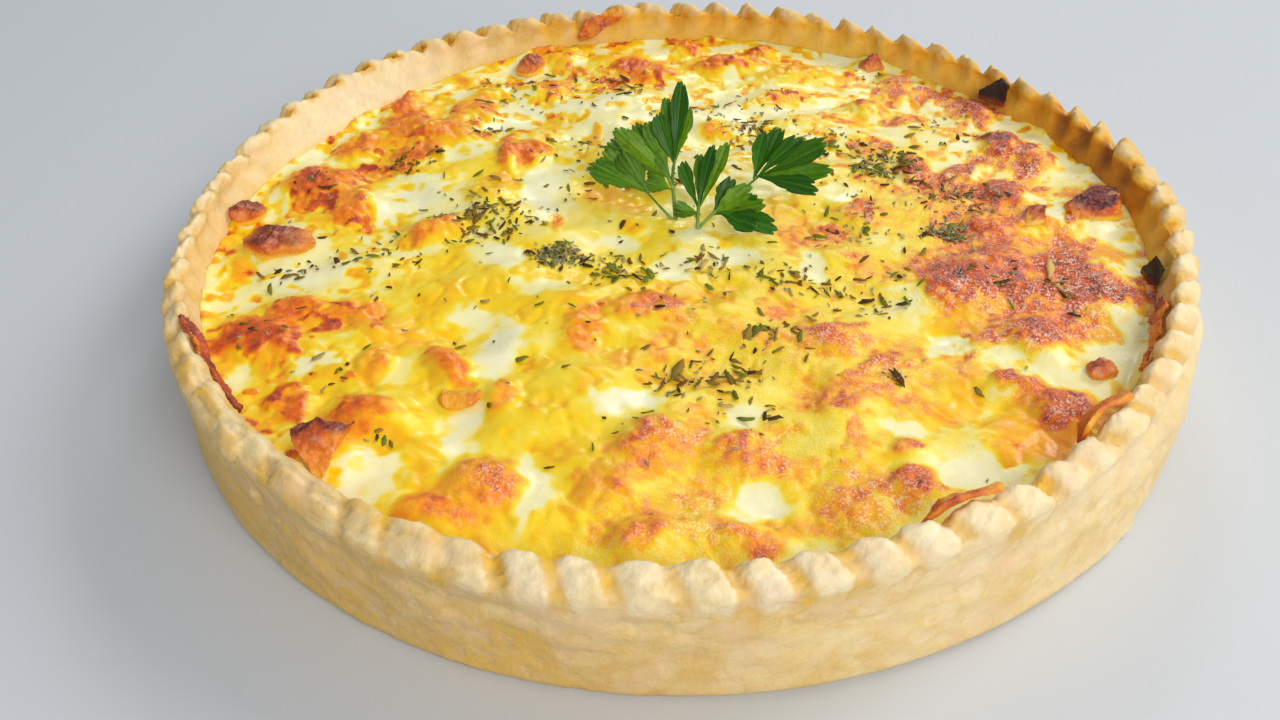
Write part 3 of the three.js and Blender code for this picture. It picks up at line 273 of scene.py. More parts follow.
    (-18, 80, 4, 4, 0, "o", 0.75), (-19, 83, 2.5, 2.5, 0, "b", 0.8), (-29, 85, 2, 2, 0, "d", 0.8),
    (-23, 103, 3, 8, 0, "w", 0.75), (-33, 103, 7, 8, 0, "g", 0.9), (-45, 96, 3, 9, 0, "w", 0.85),
    (-32, 78, 7, 6, 0, "o", 0.75), (-36, 75, 3, 4, 0, "p", 0.55), (-54, 97, 4, 9, 0, "g", 0.8),
    (-68, 84, 5, 6, 0, "c", 0.8), (-60, 84, 4, 6, 0, "o", 0.6),
]

# ---------------------------------------------------------------- toppings and herbs

# Dried herbs: x, y, spread, count, share of grey-green dust among them
HERBS = [
    (-27, -10, 6.5, 190, 0.75), (66, -1, 5.5, 130, 0.75), (55, 30, 10, 150, 0.5), (42, 42, 9, 60, 0.4),
    (22, 50, 8, 30, 0.4), (-46, 6, 13, 130, 0.2), (-12, -15, 10, 50, 0.2), (1, -56, 8, 34, 0.3),
    (13, -52, 10, 34, 0.3), (22, -41, 8, 30, 0.3), (42, -27, 14, 44, 0.3), (26, -20, 10, 36, 0.3),
    (9, -14, 8, 26, 0.2), (72, -23, 6, 14, 0.4), (88, -26, 8, 14, 0.3), (-68, 36, 9, 30, 0.3),
    (-50, 53, 7, 18, 0.4), (-92, 20, 8, 16, 0.3), (-68, -9, 12, 34, 0.2), (-88, -14, 10, 26, 0.2),
    (-90, -41, 7, 12, 0.4), (12, -66, 12, 24, 0.3), (45, -57, 4, 6, 0.2), (70, 14, 13, 90, 0.5),
    (76, 48, 14, 40, 0.4), (20, 58, 18, 50, 0.4), (-16, 76, 13, 36, 0.4), (-40, 74, 15, 34, 0.4),
    (60, 86, 12, 14, 0.3), (-72, -53, 8, 10, 0.2), (-57, -74, 4, 4, 0.2), (0, 0, 98, 200, 0.4),
    (45, 4, 20, 60, 0.4), (-20, 30, 26, 60, 0.3),
]
# Flakes that stand out one by one: x, y, length, turn, dark or green
SINGLE_HERBS = [
    (-24, -82, 2.6, 20, "dark"), (46, -57, 5.5, -60, "dark"), (20, -69, 3.4, 20, "dark"),
    (-5, -67, 3.6, 10, "green"), (73, -24, 6, 10, "dark"), (88, -34, 3.6, -10, "dark"),
    (12, -57, 6.5, -62, "olive"), (27, -44, 4.6, 80, "green"), (16, -42, 5, 80, "olive"),
    (43, -28, 4.6, 10, "dark"), (51, -30, 5, 30, "dark"), (28, -19, 4.4, -60, "olive"),
    (-5, -18, 5, -75, "green"), (-14, -15, 4.6, -50, "green"), (62, -60, 3.2, -50, "olive"),
    (86, -18, 6, 75, "straw"), (85, -26, 5.5, -60, "straw"), (1, -53, 6.5, 75, "olive"),
    (-70, -11, 4, 20, "green"), (-85, -2, 4.4, 0, "dark"), (-57, -74.5, 2.8, 90, "green"),
]

# Parsley sprigs as in the part: a foot on the filling, stems, and leaves with a root and tips
PARSLEY = {
    "parsley_left": {
        "foot": (0.9, 4.2),
        "stems": [
            [(0, 0, -1), (-0.4, 3.6, 3.2), (-0.8, 8.6, 7.6), (0.2, 13, 12.6)],
            [(-0.2, 0.6, -0.6), (-3.2, 2.6, 1.8), (-8, 6.8, 5.4)],
            [(-0.6, 6, 5.4), (-2.2, 8.4, 7.8), (-5.4, 11, 10.6)],
        ],
        "leaves": [
            ((-0.4, 10.6, 9.6),
             [(-4.8, 18.6, 19.4), (-1.8, 20.8, 23.6), (1.6, 22.6, 26.2), (3, 19.6, 21)], 3.0),
            ((-1.4, 8, 7.4),
             [(-6.6, 17.8, 18.4), (-11, 17.4, 17.8), (-14.8, 16.4, 16.4), (-17.9, 15, 14.6)], 3.8),
            ((-6.8, 6, 4.6), [(-13.4, 13.6, 12.6), (-18, 13.2, 12), (-21.4, 11.8, 10.2)], 4.6),
            ((-1.4, 6.2, 5.4), [(-7.2, 10.4, 8.8), (-7.6, 8.4, 6.2)], 2.6),
        ],
    },
    "parsley_right": {
        "foot": (6.1, -0.4),
        "stems": [
            [(0, 0, -1), (0, 2.4, 2), (0.4, 6, 5.4)],
            [(0.2, 1, 0), (5, 2.8, 4.4), (9.6, 4.4, 7.4), (15, 6.4, 11.4)],
        ],
        "leaves": [
            ((0.2, 4, 3.4), [(-3.6, 14.4, 10.4), (1, 15.8, 12.9), (4.2, 16, 14.4), (7.6, 15.3, 15.3)], 2.7),
            ((0.6, 3, 2.6), [(-5.8, 5.2, 4.6), (-6, 3.8, 2.8)], 1.8),
            ((3.6, 2.2, 3), [(9.2, 6.8, 10.4), (13, 5, 9), (15.8, 2.2, 6.6)], 4.0),
            ((5, 2.2, 3.6), [(16.4, 0.6, 5.4), (18.6, -4.8, 4.2), (14.6, -4.4, 2.6)], 4.4),
            ((13.4, 6.2, 10.8), [(16.4, 14.4, 18.6), (20.2, 14, 20.2)], 3.0),
            ((14.4, 6.2, 11),
             [(24.6, 10.4, 20.2), (31.6, 6.4, 19), (31.4, 2.4, 15.2), (28.6, -1.8, 11.6)], 3.7),
        ],
    },
}
# The round teeth at the end of each lobe, and the greens that the lobes take in turn
LEAF_TEETH = {"parsley_left": 5, "parsley_right": 3}
LEAF_SHADES = [(52, 104, 0), (80, 134, 0), (34, 86, 0), (110, 154, 6), (52, 116, 22), (42, 96, 0)]

# ---------------------------------------------------------------- noise and small helpers


def hashed(ix, iy, iz, seed):
    """A repeatable value from 0 to 1 for each whole-numbered lattice point."""
    h = (ix * 374761393 + iy * 668265263 + iz * 2147483629 + seed * 1442695041) & 0xFFFFFFFF
    h = ((h ^ (h >> 13)) * 1274126177) & 0xFFFFFFFF
    return ((h ^ (h >> 16)) & 0xFFFF) / 65535.0


def noise(p, size, seed):
    """Smooth value noise from -1 to 1, with blobs about size mm across."""
    q = np.asarray(p, float) / size
    cell = np.floor(q).astype(np.int64)
    t = q - cell
    t = t * t * t * (t * (t * 6 - 15) + 10)
    total = np.zeros(len(q))
    for dx in (0, 1):
        wx = t[:, 0] if dx else 1 - t[:, 0]
        for dy in (0, 1):
            wy = t[:, 1] if dy else 1 - t[:, 1]
            for dz in (0, 1):
                wz = t[:, 2] if dz else 1 - t[:, 2]
                total += wx * wy * wz * hashed(cell[:, 0] + dx, cell[:, 1] + dy, cell[:, 2] + dz, seed)
    return 2 * total - 1


def fractal(p, size, seed, octaves=3):
    total, share = np.zeros(len(p)), 1.0
    for k in range(octaves):
        total += share * noise(p, size / 2**k, seed + 17 * k)
        share *= 0.5
    return total / (2 - 0.5 ** (octaves - 1))


def cells(p, size, seed):
    """Scattered cells about size mm across: how far in from its cell's edge, and the cell's value."""
    q = np.asarray(p, float) / size
    base = np.floor(q).astype(np.int64)
    nearest, second, value = np.full(len(q), 9.0), np.full(len(q), 9.0), np.zeros(len(q))
    for shift in np.ndindex(3, 3, 3):
        c = base + np.array(shift) - 1
        spot = c + np.stack([hashed(*c.T, seed + k) for k in range(3)], -1)
        d = np.linalg.norm(q - spot, axis=1)
        closer = d < nearest
        second = np.where(closer, nearest, np.minimum(second, d))
        value = np.where(closer, hashed(*c.T, seed + 5), value)
        nearest = np.where(closer, d, nearest)
    return second - nearest, value


def smooth(x, low, high):
    t = np.clip((x - low) / (high - low), 0, 1)
    return t * t * (3 - 2 * t)


def mix(a, b, t):
    """Part of a and part of b, for numbers or for colours, which have three values a point."""
    t = np.asarray(t, float)
    if t.ndim == 1 and any(np.ndim(c) == 2 or np.shape(c) == (3,) for c in (a, b)):
        t = t[:, None]
    return a * (1 - t) + b * t


def bell(x):
    return np.exp(-x * x)


def turn_between(a, b):
    return (b - a + 180) % 360 - 180


def nearby(direction, spread, angle):
    """1 in a direction, fading to 0 within about two spreads of it."""
    return bell(turn_between(direction, angle) / spread)


def curve(p0, p1, p2, p3, t):
    """The point at t, from 0 to 1, between p1 and p2 on a smooth curve through all four."""
    return 0.5 * (2 * p1 + (p2 - p0) * t + (2 * p0 - 5 * p1 + 4 * p2 - p3) * t * t
                  + (3 * p1 - p0 - 3 * p2 + p3) * t**3)


def rgb(r, g, b):
    """An sRGB colour of 0-255 as linear values."""
    c = np.array((r, g, b), float) / 255
    return np.where(c <= 0.04045, c / 12.92, ((c + 0.055) / 1.055) ** 2.4)


def coats(tint, *layers):
    """A colour under layers of others, each given with its strength at every point."""
    for colour, strength in layers:
        tint = mix(tint, rgb(*colour), strength)
    return tint


def random_from(seed):
    """The seeded random numbers that the part's own crimps use."""
    state = (seed * 2654435761) & 0xFFFFFFFF

    def draw():
        nonlocal state
        state = (state + 0x6D2B79F5) & 0xFFFFFFFF
        t = ((state ^ (state >> 15)) * (1 | state)) & 0xFFFFFFFF
        t = ((t + (((t ^ (t >> 7)) * (61 | t)) & 0xFFFFFFFF)) ^ t) & 0xFFFFFFFF
        return ((t ^ (t >> 14)) & 0xFFFFFFFF) / 4294967296

    return draw


def make_mesh(name, points, triangles, colours=None, values=None):
    """A mesh object from points in mm, with a colour and named values at each point."""
    points = np.asarray(points, float) * MM
    triangles = np.asarray(triangles, np.int32)
    mesh = bpy.data.meshes.new(name)
    mesh.vertices.add(len(points))
    mesh.vertices.foreach_set("co", points.ravel())
    mesh.loops.add(3 * len(triangles))
    mesh.loops.foreach_set("vertex_index", triangles.ravel())
    mesh.polygons.add(len(triangles))
    mesh.polygons.foreach_set("loop_start", np.arange(0, 3 * len(triangles), 3))
    mesh.polygons.foreach_set("use_smooth", np.ones(len(triangles), bool))
    mesh.update(calc_edges=True)
    paint(mesh, colours, values)
    thing = bpy.data.objects.new(name, mesh)
    bpy.context.scene.collection.objects.link(thing)
    return thing


def paint(mesh, colours, values=None):
    if colours is not None:
        layer = mesh.attributes.new("tint", "FLOAT_COLOR", "POINT")
        full = np.ones((len(colours), 4))
        full[:, :3] = np.clip(colours, 0, 1)
        layer.data.foreach_set("color", full.ravel())
    for key, value in (values or {}).items():
        layer = mesh.attributes.new(key, "FLOAT", "POINT")
        layer.data.foreach_set("value", np.asarray(value, np.float32))


def joined(name, bodies):
    """One mesh object of many small closed bodies, each given as points, faces and colours."""
    starts = np.cumsum([0] + [len(points) for points, _, _ in bodies])
    points = np.concatenate([points for points, _, _ in bodies])
    faces = np.concatenate([np.asarray(faces) + start for (_, faces, _), start in zip(bodies, starts)])
    return make_mesh(name, points, faces, np.concatenate([tints for _, _, tints in bodies]))


def grid_triangles(rows, columns, wrap):
    """Triangles of a grid of points, row by row, closed round in its columns if wrap."""
    i = np.arange(rows - 1)[:, None]
    j = np.arange(columns if wrap else columns - 1)[None, :]
    a = i * columns + j
    b = i * columns + (j + 1) % columns
    c, d = a + columns, b + columns
    return np.concatenate(
        [np.stack([a, b, d], -1).reshape(-1, 3), np.stack([a, d, c], -1).reshape(-1, 3)]
    )


def grid_normals(grid):
    """Unit normals of a grid of points (rows, columns, 3), closed round in its columns."""
    down = np.gradient(grid, axis=0)
    across = (np.roll(grid, -1, 1) - np.roll(grid, 1, 1)) / 2
    n = np.cross(across, down)
    return n / np.maximum(np.linalg.norm(n, axis=-1, keepdims=True), 1e-9)


# ---------------------------------------------------------------- pastry case


def out_of_round(angle):
    a = np.radians(angle)
    return sum(c * np.cos(w * a) + s * np.sin(w * a) for w, c, s in OUT_OF_ROUND)


def seam_step(angle, z):
    total = 0.0
    for foot, rim, step, fade, clear_below in SEAMS:
        behind = turn_between(angle, foot + (rim - foot) * z / RIM_HEIGHT)
        shown = smooth(z, clear_below - 12, clear_below) if clear_below else 1.0
        total = total + np.where(behind > 0, step * shown * bell(behind / fade), 0)
    return total


def wall_relief(angle, z):
    a = np.radians(angle)
    broad = np.sin(9 * a + 0.21 * z) * np.cos(14 * a - 0.13 * z + 1)
    fine = np.sin(31 * a + 0.5 * z) * np.sin(0.45 * z + 5 * a)
    return WALL_RELIEF * (broad + fine) * smooth(z, 0, 14)


def inner_edge(angle):
    return INNER_RADIUS + INNER_SHARE * out_of_round(angle)


def inner_radius(angle, z):
    bank = BANK_DEPTH * nearby(BANK_ANGLE, BANK_SPREAD, angle)
    shelf = inner_edge(angle) - SHELF_INSET - bank
    share = (z - FLOOR_THICKNESS) / (SHELF_HEIGHT - FLOOR_THICKNESS)
    return FLOOR_RADIUS + (shelf - FLOOR_RADIUS) * share


def wall_radius(angle, z):
    foot = BASE_RADIUS + BASE_SHIFT * np.cos(np.radians(angle - BASE_SHIFT_ANGLE))
    top = RIM_RADIUS + out_of_round(angle) - OVERHANG
    plain = foot + (top - foot) * z / RIM_HEIGHT
    swell = BULGE_DEPTH * nearby(BULGE_ANGLE, BULGE_SPREAD, angle) * np.sin(np.pi * z / RIM_HEIGHT)
    return plain + swell + seam_step(angle, z) + wall_relief(angle, z)


def crimp_fields(angle):
    """Groove, depth, rise, reach and inner flute at each angle, from the part's own crimps."""
    draw = random_from(CRIMP_SEED)
    pitch = 360 / CRIMPS
    crimps = []
    for i in range(CRIMPS):
        middle = RIDGE_ANGLE + i * pitch
        strength = 1.0
        for at, spread, left in FLAT_CRIMPS:
            strength *= 1 - (1 - left) * nearby(at, spread, middle)
        depth = (0.6 + 0.7 * draw()) * strength
        rise = 1.1 * (draw() - 0.5)
        reach = 1.3 * (draw() - 0.5)
        crimps.append((depth, rise, reach, 0.5 + 0.14 * (draw() - 0.5)))
    crimps = np.array(crimps)
    place = ((angle - RIDGE_ANGLE) / pitch) % CRIMPS
    index = np.floor(place).astype(int) % CRIMPS
    share = place - np.floor(place)
    last, here, after = crimps[index - 1], crimps[index], crimps[(index + 1) % CRIMPS]
    past = share >= here[:, 3]
    start = np.where(past, here[:, 3], last[:, 3] - 1)
    end = np.where(past, after[:, 3] + 1, here[:, 3])
    along = (share - start) / (end - start)
    # a ridge climbs evenly away from one groove and drops steeply into the next, but at the
    # front the ridges are flat tabs and on the bank they are round knobs
    steep = 1 - np.minimum(np.clip(along / 0.74, 0, 1) ** 0.8, smooth(1 - along, 0, 0.24))
    tabbed = 1 - smooth(np.minimum(along, 1 - along), 0.05, 0.32)
    knobbed = 2.0 * (1 - np.sin(np.pi * np.clip(along, 0, 1)) ** 0.8)
    groove = mix(steep, tabbed, 0.75 * smooth(-np.sin(np.radians(angle)), 0, 0.6))
    groove = mix(groove, knobbed, nearby(BANK_ANGLE, BANK_SPREAD, angle))
    earlier = np.where(past, here[:, 0], last[:, 0])
    later = np.where(past, after[:, 0], here[:, 0])
    depth = mix(earlier, later, smooth(along, 0.55, 0.85))
    over = smooth(share, here[:, 3] - 0.12, here[:, 3] + 0.16)
    rise = mix(here[:, 1], after[:, 1], over)
    reach = mix(here[:, 2], after[:, 2], over)
    flute = 0.5 + 0.5 * np.cos(2 * np.pi * along)
    return groove, depth, rise, reach, flute


def rim_tips(angle):
    return RIM_RADIUS + out_of_round(angle) + 0.5 * seam_step(angle, RIM_HEIGHT)


def case_rings(angle):
    """Radius and height at each angle on rings from the foot up, over the rim and down inside."""
    proud = 0.5 * seam_step(angle, RIM_HEIGHT)
    tips = rim_tips(angle)
    flat = np.ones(len(angle))

    def wall(z, inset=0.0):
        return wall_radius(angle, z) - inset, z * flat

    turns = np.radians(angle)
    # the crimps at the back are pressed deeper than those at the front
    uneven = (1.35 + 0.6 * np.sin(turns)) * (1 + 0.3 * np.sin(23 * turns + 1) * np.sin(6 * turns))
    # the broad pressed bank has crimps at its outer edge alone
    on_bank = nearby(BANK_ANGLE, BANK_SPREAD, angle)
    flattened = 0.9 * on_bank

    def rim(inset, drop, depth_share, outer_share, inner_share):
        groove, depth, rise, reach, flute = crimp_fields(angle + CRIMP_SLANT * (inset - 0.4))
        groove = mix(groove, flute, smooth(inset, 0.6, 1.0))
        pressed = groove * depth * uneven * (1 - flattened * smooth(inset, 0.45, 0.8))
        r = mix(tips, inner_edge(angle), inset)
        r = r + outer_share * (0.6 * reach - GROOVE_NOTCH * pressed) + inner_share * INNER_NOTCH * pressed
        lower = drop + 1.3 * flattened * smooth(inset, 0.4, 0.9)
        return r, RIM_HEIGHT - lower + proud + depth_share * (rise - GROOVE_DEPTH * pressed)

    rings = [wall(0.0, FOOT_ROUND + 4), wall(0.0, FOOT_ROUND), wall(FOOT_ROUND)]
    rings += [wall(z) for z in (5, 9, 12.5, 16, 19, 22)]
    rings += [
        rim(0.16, 7.0, 0.0, 0.25, 0), rim(0.09, 4.1, 0.3, 0.55, 0), rim(0.18, 2.1, 0.7, 0.5, 0),
        rim(0.46, 0.7, 1, 0.2, 0.1), rim(0.78, 0.0, 1.15, 0, 0.6), rim(1.0, 2.2, 0.45, 0, 1.1),
    ]
    # each crimp runs on down the inner wall as a soft flute, but the bank slopes down plainly
    shelf = (inner_radius(angle, SHELF_HEIGHT), SHELF_HEIGHT * flat)
    fluted = rim(1.0, 5.2, 0.0, 0, 1.0)
    rings.append([mix(f, (a + b) / 2, on_bank) for f, a, b in zip(fluted, rings[-1], shelf)])
    rings += [shelf] + [(inner_radius(angle, z), z * flat) for z in (20.0, 16.0)]
    return np.array([np.stack([r, z], -1) for r, z in rings])  # (rings, columns, 2)


def case_grid(angle):
    """The case's surface without its fine relief, as a grid of points (rows, columns, 3)."""
    knots = case_rings(angle)
    rows = []
    for k, steps in enumerate(RING_STEPS):
        before, after = knots[max(k - 1, 0)], knots[min(k + 2, len(knots) - 1)]
        for t in np.arange(steps) / steps:
            rows.append(curve(before, knots[k], knots[k + 1], after, t))
    rows.append(knots[-1])
    rows = np.array(rows)
    a = np.radians(angle)[None, :]
    return np.stack([rows[..., 0] * np.cos(a), rows[..., 0] * np.sin(a), rows[..., 1]], -1)


def dough_relief(p, theta):
    """How far the baked dough swells out at each point, and what the browning needs of it."""
    height = p[:, 2]
    on_rim = smooth(height, 26, 29.5)
    # lumps, thin overlapping flakes, pits and cracks of the baked dough
    lumps = fractal(p, 9, 3)
    warped = p + 1.3 * np.stack([noise(p, 3, 31), noise(p, 3, 32), noise(p, 3, 33)], -1)
    inside, own = cells(warped * [1, 1, 1.25], 5.5, 35)
    flake = smooth(own, 0.3, 0.7) * smooth(inside, 0.0, 0.22)
    outline = (1 - smooth(inside, 0.03, 0.13)) * smooth(own + 0.5 * lumps, 0.3, 0.8)
    pits = smooth(noise(p, 2.2, 7), 0.5, 0.9)
    line = np.abs(noise(p * [1, 1, 2.2], 7.5, 11)) + 0.3 * np.abs(noise(p, 1.6, 12))
    cracks = (1 - smooth(line, 0.02, 0.10)) * smooth(noise(p, 13, 13), 0.1, 0.5)
    amount = 0.25 * lumps + 0.2 * flake - 0.12 * outline - 0.12 * pits - 0.06 * cracks
    crumbly = 0.34 * fractal(p, 4.5, 15) + 0.3 * noise(p, 2.0, 16) + 0.16 * noise(p, 0.9, 17)
    # at the front left the rim is torn into thin layers that run along it
    layered = nearby(-138, 30, theta)
    outward = np.hypot(p[:, 0], p[:, 1]) + 0.9 * noise(p, 7, 38)
    layers = np.stack([np.radians(theta) * RIM_RADIUS / 6, outward, height], -1)
    ledge = smooth(noise(layers, 1.7, 39), -0.12, 0.12)
    crumbly = mix(crumbly, 0.75 * (ledge - 0.5) + 0.12 * noise(p, 1.3, 40), layered)
    amount += 0.05 * noise(p, 1.1, 9) + on_rim * crumbly
    amount *= smooth(height, 0.0, 2.0)
    return amount, (own, flake, cracks, layered, ledge)


def case_browning(p, theta, tips, inner, relief):
    """Pale ridges with golden recesses under them, a sandy wall and deeper gold inside; the gold in the
    recesses and on the sides away from the light is partly painted shade.
    """
    own, flake, cracks, layered, ledge = relief
    height = p[:, 2]
    # how far in from the tips towards the inner edge, 0 on the wall and 1 inside
    across = (tips - np.hypot(p[:, 0], p[:, 1])) / (RIM_RADIUS - INNER_RADIUS)
    across = np.clip(across, 0, 1)
    groove, depth, _, _, flute = crimp_fields(theta + CRIMP_SLANT * (across - 0.4))
    pressed = groove * depth
    blotch, mottle = fractal(p, 13, 21), fractal(p, 4.2, 23)
    # darker gold low on the left of the wall, the side away from the light: partly bake, partly painted
    # shade
    left = smooth(-np.cos(np.radians(theta - 25)), 0.0, 0.9)
    bake = 0.45 + 0.11 * blotch + 0.05 * mottle + 0.12 * left * smooth(26 - height, 0, 12)
    # the outside is palest at the right, the side that the light falls on: partly its own tone, partly
    # painted light
    bake -= 0.12 * smooth(np.cos(np.radians(theta + 15)), 0.2, 0.9)
    bake += 0.08 * (own - 0.5) - 0.1 * flake
    bake = np.minimum(bake, 0.55)
    edge = 26.4 + 2.4 * pressed + 1.5 * mottle + 1.6 * noise(p, 11, 37)
    edge += 3.4 * nearby(-140, 28, theta)
    above = smooth(height - edge, -1.6, 1.6)
    # a golden band just under the rim's edge where the grooves run over it: browning, and painted shade in
    # the recesses
    below = bell((height - edge + 2.4) / 2.2) * smooth(pressed, 0.05, 0.6)
    bake += 0.14 * below * smooth(blotch, -0.6, 0.1)
    # golden troughs between the ridges, more so towards the inner edge: browning, and painted shade in the
    # recesses
    trough = smooth(pressed, 0.3, 0.85)
    far = smooth(np.cos(np.radians(theta - 62)), -0.1, 0.75)
    front = smooth(-np.sin(np.radians(theta)), 0.0, 0.6)
    right = nearby(22, 28, theta)
    bank = nearby(BANK_ANGLE, 26, theta)
    # the rim's top is more golden at the back right, whose inner face is away from the light: partly bake,
    # partly painted shade
    top = 0.08 + 0.16 * smooth(mottle, -0.3, 0.6) + 0.1 * left + 0.24 * far + 0.1 * right
    # on the bank the outer knobs are golden: partly bake, partly painted shade on their sides away from the
    # light
    top += 0.12 * nearby(-45, 28, theta) + 0.26 * bank * (1 - smooth(across, 0.2, 0.6))
    golden = 0.24 + 0.4 * smooth(across, 0.35, 0.7) * smooth(noise(p, 14, 29), -0.6, 0.0)
    top += trough * mix(golden, 0.34, front) + layered * (0.08 + 0.2 * (1 - ledge))
    bake = mix(bake, top, above)
    # the inner wall is deeper gold, most at the back right and at the right, which face away from the
    # light: partly bake, partly painted shade
    deepest = nearby(14, 18, theta)
    deep = mix(0.44 + 0.18 * far + 0.28 * deepest, 0.22, bank) + 0.05 * blotch + 0.04 * mottle
    # darker down the grooves of each flute on the inner wall: browning, and painted shade in the recesses
    deep += 0.16 * (flute * depth - 0.35) * smooth(height, 20, 28) * (1 - bank)
    bake = mix(bake, deep, inner * smooth(31.6 - height, 0, 2.6))
    return bake + 0.06 * cracks


def pastry_case():
    """The crimped case as a closed body, with its browning."""
    columns = 1000
    angle = 360 * np.arange(columns) / columns
    grid = case_grid(angle)
    count = len(grid)
    p = grid.reshape(-1, 3)
    theta = np.tile(angle, count)
    inner = np.repeat(np.arange(count) > sum(RING_STEPS[:CREST_RING]), columns)
    amount, relief = dough_relief(p, theta)
    bake = case_browning(p, theta, np.tile(rim_tips(angle), count), inner, relief)
    grid = grid - grid_normals(grid) * amount.reshape(count, columns, 1)
    grid[..., 2] = np.maximum(grid[..., 2], 0)

    points = np.concatenate([[[0, 0, 0]], grid.reshape(-1, 3), [[0, 0, FLOOR_THICKNESS]]])
    triangles = 1 + grid_triangles(count, columns, True)
    first = 1 + np.arange(columns)
    last = 1 + (count - 1) * columns + np.arange(columns)
    bottom = np.stack([np.zeros(columns, int), np.roll(first, -1), first], -1)
    floor_disc = np.stack([last, np.roll(last, -1), np.full(columns, len(points) - 1)], -1)
    triangles = np.concatenate([triangles, bottom, floor_disc])
    bake = np.concatenate([[0.5], np.clip(bake, 0, 1), [0.4]])
    return make_mesh("crust", points, triangles, None, {"bake": bake})


# ---------------------------------------------------------------- filling


def local(x, y, cx, cy, length, width, turn):
    a = np.radians(turn)
    u = ((x - cx) * np.cos(a) + (y - cy) * np.sin(a)) / length
    v = ((y - cy) * np.cos(a) - (x - cx) * np.sin(a)) / width
    return u, v


def surface_height(x, y):
    """Height of the baked surface as the part has it."""
    angle = np.degrees(np.arctan2(y, x))
    share = np.minimum(1, np.hypot(x, y) / inner_radius(angle, FILLING_EDGE))
    inside = smooth(1 - share, 0, 0.06)
    rise = np.zeros_like(x)
    for cx, cy, length, width, turn, up in MOUNDS:
        u, v = local(x, y, cx, cy, length, width, turn)
        rise += 0.85 * up * bell(u * u + v * v)
    for wavelength, direction, phase, height in SWELLS:
        d = np.radians(direction)
        rise += height * np.sin(2 * np.pi * (x * np.cos(d) + y * np.sin(d)) / wavelength + phase)
    return FILLING_EDGE + FILLING_DOME * (1 - share**3) + inside * rise


def surface_bake(x, y):
    """Browning and pale specks of the filling at each point, built up patch by patch; the specks are
    blistered skin and painted highlight glints.
    """
    p = np.stack([x, y, np.zeros_like(x)], -1)
    wx = x + 2.2 * noise(p, 8, 41) + 1.2 * noise(p, 3.2, 43) + 0.6 * noise(p, 1.5, 44)
    wy = y + 2.2 * noise(p, 8, 45) + 1.2 * noise(p, 3.2, 47) + 0.6 * noise(p, 1.5, 48)
    ragged = fractal(p, 3.0, 49)
    # crisp all over at the front and the right, wet and smooth at the back left
    crisp = smooth(x - 0.55 * y, -25, 45)
    right = smooth(x, 30, 80)
    back = smooth(y, 0, 60)
    left = smooth(-x, 25, 70)
    sharp = 0.12 * np.maximum(right, back)
    base = smooth(fractal(p, 17, 51) + 0.35 * ragged - 0.1 * back, sharp - 0.3, 0.3 - sharp)
    bright = 0.38 + 0.2 * right + 0.07 * back + 0.05 * left
    bake = mix(0.14 - 0.08 * back - 0.07 * right, bright, base) + 0.03 * crisp
    # pale specks, part blistered skin and part painted highlight glints, most where the cheese is crisp and
    # at the right
    blister_and_glint = 0.4 * crisp + 0.25 * right
    for cx, cy, length, width, turn, kind, strength in PATCHES:
        reach = 1.9 * max(length, width)
        near = np.flatnonzero((np.abs(wx - cx) < reach) & (np.abs(wy - cy) < reach))
        u, v = local(wx[near], wy[near], cx, cy, length, width, turn)
        d = np.hypot(u, v) + 0.42 * ragged[near]
        alpha = strength * (1 - smooth(d, 0.5, 1.35))
        bake[near] = mix(bake[near], KINDS[kind][0], alpha)
        blister_and_glint[near] = mix(blister_and_glint[near], KINDS[kind][1], alpha)
    bake += mix(0.14, 0.22, crisp) * fractal(p, 5.5, 53, 4) * smooth(bake, 0.12, 0.4)
    bake += 0.14 * crisp * noise(p, 1.7, 55) * smooth(bake, 0.25, 0.5)
    # the right browned most and the front least
    bake += (0.09 * right - 0.05 * left - 0.07 * smooth(-y, 35, 80)) * smooth(bake, 0.45, 0.7)
    # small golden, orange and white flecks of cheese over the back and along the left
    flecked = np.maximum(smooth(y + 0.3 * x, 5, 50), smooth(-x, 45, 80)) * (bake < 0.6)
    fleck = smooth(noise(p, 3.4, 57) + 0.5 * noise(p, 1.6, 58), 0.25, 0.75)
    curd = smooth(noise(p, 4.6, 59) + 0.5 * noise(p, 2.1, 60), 0.1, 0.6)
    bake += flecked * (0.36 * fleck - 0.2 * curd * smooth(bake, 0.15, 0.35))
    # away from the front there is less plain yellow: it is either cream or golden
    parted = 0.07 + (0.4 + 0.08 * right) * smooth(bake, 0.12, 0.38)
    parted = np.where(bake > 0.3, np.maximum(parted, bake), parted)
    bake = mix(bake, parted, np.maximum(right, np.maximum(0.7 * back, 0.5 * left)))
    bake -= 0.4 * np.maximum(bake - 0.78, 0)
    return np.clip(bake, 0, 1), np.clip(blister_and_glint * mix(0.15, 1.1, crisp), 0, 1)


